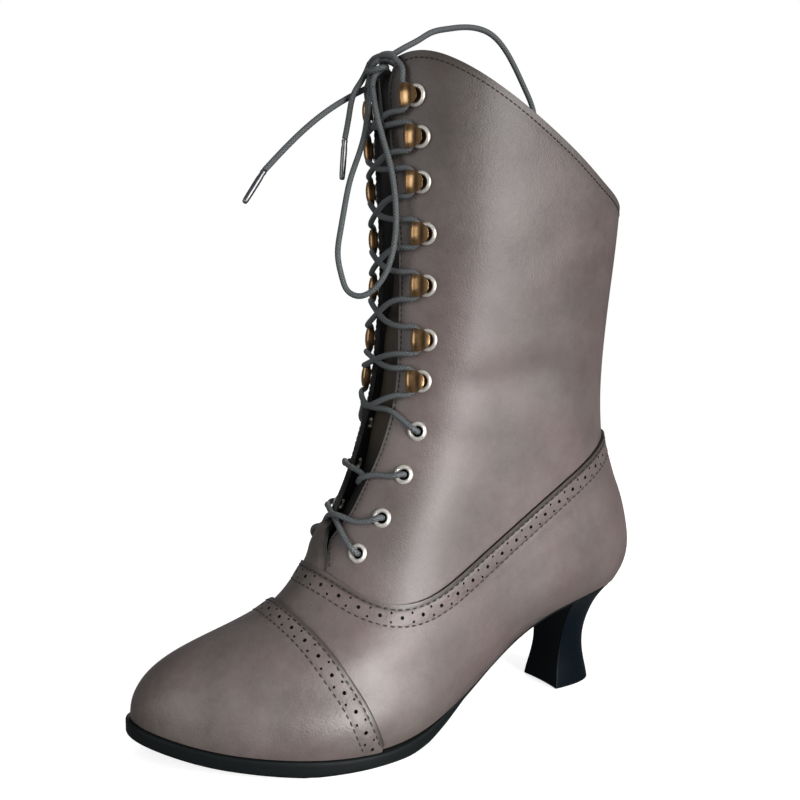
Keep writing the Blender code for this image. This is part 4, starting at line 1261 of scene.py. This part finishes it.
# Rings of the metal as (radius, height)
EYELET_PROFILE = ((2.3, -1.8), (2.3, 0.7), (2.42, 1.05), (2.65, 1.3), (3.0, 1.42), (3.35, 1.27),
                  (3.8, 0.92), (4.08, 0.55), (4.1, 0.38), (3.95, 0.3), (2.6, 0.3), (2.45, -1.8))
WASHER_PROFILE = ((0.4, 0.3), (0.4, 0.9), (2.9, 1.0), (3.4, 1.25), (4.0, 1.25), (4.5, 0.95), (4.7, 0.6),
                  (4.7, 0.3))
# How far a hook's washer lies behind its seat, and its strap: step of the darkest band of painted
# reflection, and the curl's centre and radius
WASHER_SHIFT = 1.8
HOOK_CREST = 23
CURL_BACK, CURL_OUT, CURL_RADIUS = -2.15, 2.9, 1.95


def hook_strap():
    """The curled strap of a hook in its own seat: towards the heel, up, outwards."""
    # Steps as (towards the heel, outwards, half width): the foot, the curl and the rounded lip
    path = [(x, 0.95, 3.2) for x in np.linspace(1.5, -1.9, 6)]
    for angle in np.radians(np.linspace(-90, -270, 17)):
        share = (-90 - np.degrees(angle)) / 180
        path.append((CURL_BACK + CURL_RADIUS * np.cos(angle), CURL_OUT + CURL_RADIUS * np.sin(angle),
                     3.3 + 1.4 * share ** 0.6))
    for angle in np.radians(np.linspace(-3, 83, 18)):
        x = -1.5 + 5.5 * np.sin(angle)
        path.append((x, 4.85 - 1.3 * ((x + 1.9) / 5.9) ** 2.4, 4.72 * np.cos(angle) ** 0.75))
    path = np.array(path)
    way = unit(np.gradient(path[:, :2], axis=0))
    inside = np.stack([way[:, 1], -way[:, 0]], -1)
    across = np.linspace(-1, 1, 15)
    rows = []
    for (x, z, half), (dx, dz) in zip(path, inside):
        barrel = 0.85 * np.abs(across * half / 4.7) ** 2.2
        rows.append(np.stack([x + dx * barrel, across * half, z + dz * barrel], -1))
    walked = walk(path[:, :2])
    # Painted reflection: dark bands along the curl where polished brass would mirror dark surroundings
    bands = 0.30 + 0.42 * np.cos((walked - walked[HOOK_CREST]) * 1.9)
    shade_and_reflection = bands[:, None] * (1 - 0.6 * np.abs(across) ** 3)
    return np.array(rows), np.clip(shade_and_reflection, 0, 1)


def make_hook():
    shape, shade_and_reflection = hook_strap()
    strap = loft("hook_strap", shape + (ORIGIN_SIDE, ORIGIN_ALONG, 0), (BRASS,), {"shade_and_reflection": shade_and_reflection})
    applied(strap, "SOLIDIFY", thickness=HOOK_STRAP * MM, offset=0)
    bevelled(strap, 0.2, 2, 60)
    washer = turned("hook_washer", WASHER_PROFILE, NICKEL, 36)
    edited(washer, bpy.ops.transform.translate, value=(WASHER_SHIFT * MM, 0, 0))
    places = np.array([point.co for point in washer.data.vertices]) / MM
    far = np.hypot(places[:, 0] - WASHER_SHIFT, places[:, 1])
    # Painted shade: the washer goes dark in its middle, where the slot and the cord shade it
    painted(washer, "shade_and_reflection", 1 - swell(far, 2.9, 3.5))
    return joined([strap, washer], "hook")


def make_lacing_metal():
    models = {"eyelet": turned("eyelet", EYELET_PROFILE, NICKEL), "hook": make_hook()}
    for kind, rows, slot in (("eyelet", EYELETS, "nickel"), ("hook", HOOKS, "brass")):
        smoothed(models[kind], 35)
        for row, (height, side) in enumerate(rows, 1):
            for name, sign in (("outer", 1), ("inner", -1)):
                mesh = models[kind].data.copy()
                mesh.transform(seat_frame(height, sign * side))
                dress(linked(f"{kind}_{name}_row_{row}", mesh), slot, f"{kind}_{name}_{row}")
        bpy.data.objects.remove(models[kind])


# Laced runs of the cord

def local(place, steps):
    """Points given in a seat's own millimetres as (side, along, height)."""
    world = [place @ Vector(step) * 1000 for step in (np.asarray(steps) * MM).tolist()]
    return [(p.x + ORIGIN_SIDE, p.y + ORIGIN_ALONG, p.z) for p in world]


def over_eyelet(row, sign):
    """A cord's start: out of an eyelet and over its flange towards the throat, bottom row 0."""
    place = seat_frame(EYELETS[row][0], sign * EYELETS[row][1])
    lean = np.radians(EYELET_LEAN[sign][row])
    back, up = -np.cos(lean), sign * np.sin(lean)
    steps = ((0, -1.0), (0, 1.9), (1.4, 2.9), (4.6, 2.7))
    return local(place, [(far * back, far * up, lift) for far, lift in steps])


def round_hook(row, sign):
    """A cord's way round the shank of a hook, from below to above."""
    height, side = HOOKS[row]
    place = seat_frame(height, sign * side)
    route = ((-7.0, -5.7), (-2.4, -5.2), (-0.6, -3.0), (-0.6, 3.0), (-2.4, 5.2), (-7.0, 5.7))
    middle = GAP + HOOK_PLATE + HOOK_SLOT / 2
    return local(place, [(along, sign * rise, middle) for along, rise in route])


def over_leather(height, side, lift):
    """A place on a cord that lies on the upper or crosses its throat."""
    rise = rise_of(height)
    return tuple(skin(turn_of(side, rise), rise, lift))


def between(points):
    return [over_leather(*point) for point in points]


def up_the_hooks(sign):
    """From the top eyelet of one side, round the hooks by turns, to the knot."""
    path = over_eyelet(3, sign) + between(FIRST_RUN[sign])
    below = EYELETS[3][0] + 4
    hand = -sign
    for row, (height, _) in enumerate(HOOKS):
        over = ON_LEATHER + (0.6 if hand > 0 else 0)
        path += [over_leather((below + height - 5) / 2, 0, over)] + round_hook(row, hand)
        below = height + 5
        hand = -hand
    return path[:-1] + list(LACE_END_INNER if hand > 0 else LACE_END_OUTER)


def make_lace():
    routes = {
        "lace_crossing_1": (over_eyelet(1, 1) + between(CROSS_OVER) + over_eyelet(0, -1)[::-1],
                            over_eyelet(0, 1) + between(CROSS_UNDER) + over_eyelet(1, -1)[::-1]),
        "lace_crossing_2": (over_eyelet(2, 1) + between(TUCK_OUTER),
                            over_eyelet(2, -1) + between(TUCK_INNER)),
        "lace_hook_crossings": (up_the_hooks(1), up_the_hooks(-1)),
    }
    for name, strands in routes.items():
        tubes = [tube(f"{name}_strand", smooth_path(path, CORD_STEP), LACE / 2, WAXED_BRAID)
                 for path in strands]
        dress(joined(tubes, name.replace("lace_", "laced_")), "waxed_cord", name)


# Strands of the bow's knot, each from one run of the lace to another
KNOT_STRANDS = (
    ((14.6, 110.9, 282.4), (13.2, 110.2, 284.6), (10.5, 109.2, 285.7), (7.0, 108.4, 286.5),
     (3.5, 107.6, 286.6), (0.6, 107.2, 286.2), (-1.3, 107.0, 285.3), (-2.2, 106.6, 284.4)),
    ((7.2, 113.2, 287.6), (5.4, 110.6, 287.8), (2.2, 109.2, 287.2), (-1.2, 108.6, 285.4),
     (-2.9, 108.2, 282.8), (-3.0, 107.4, 280.0), (-3.1, 106.8, 277.0), (-3.6, 106.2, 275.0)),
    ((1.0, 105.5, 274.2), (0.0, 105.8, 277.0), (0.2, 106.0, 280.0), (2.2, 106.2, 283.2),
     (4.6, 107.8, 285.2), (4.2, 110.6, 286.0), (2.4, 113.6, 285.6)),
    ((4.6, 104.7, 273.2), (4.2, 105.2, 276.4), (4.9, 106.6, 279.6), (4.0, 109.2, 281.2),
     (0.0, 110.6, 281.0), (-6.4, 110.0, 279.4)),
    ((-2.6, 109.0, 281.6), (-1.6, 105.6, 281.4), (1.6, 104.0, 280.6), (5.6, 104.8, 280.4),
     (8.2, 107.2, 281.2), (7.6, 110.0, 281.8)),
)


def make_knot():
    tubes = [tube("knot_strand", smooth_path(path, 0.6), LACE / 2, WAXED_BRAID) for path in KNOT_STRANDS]
    dress(joined(tubes, "bow_knot"), "waxed_cord", "lace_knot")


make_camera()
make_studio()
make_cords()
make_upper()
make_stitches(make_galosh() + make_toe_cap())
make_sole()
make_insole()
make_heel()
make_tongue()
make_lacing_metal()
make_lace()
make_knot()
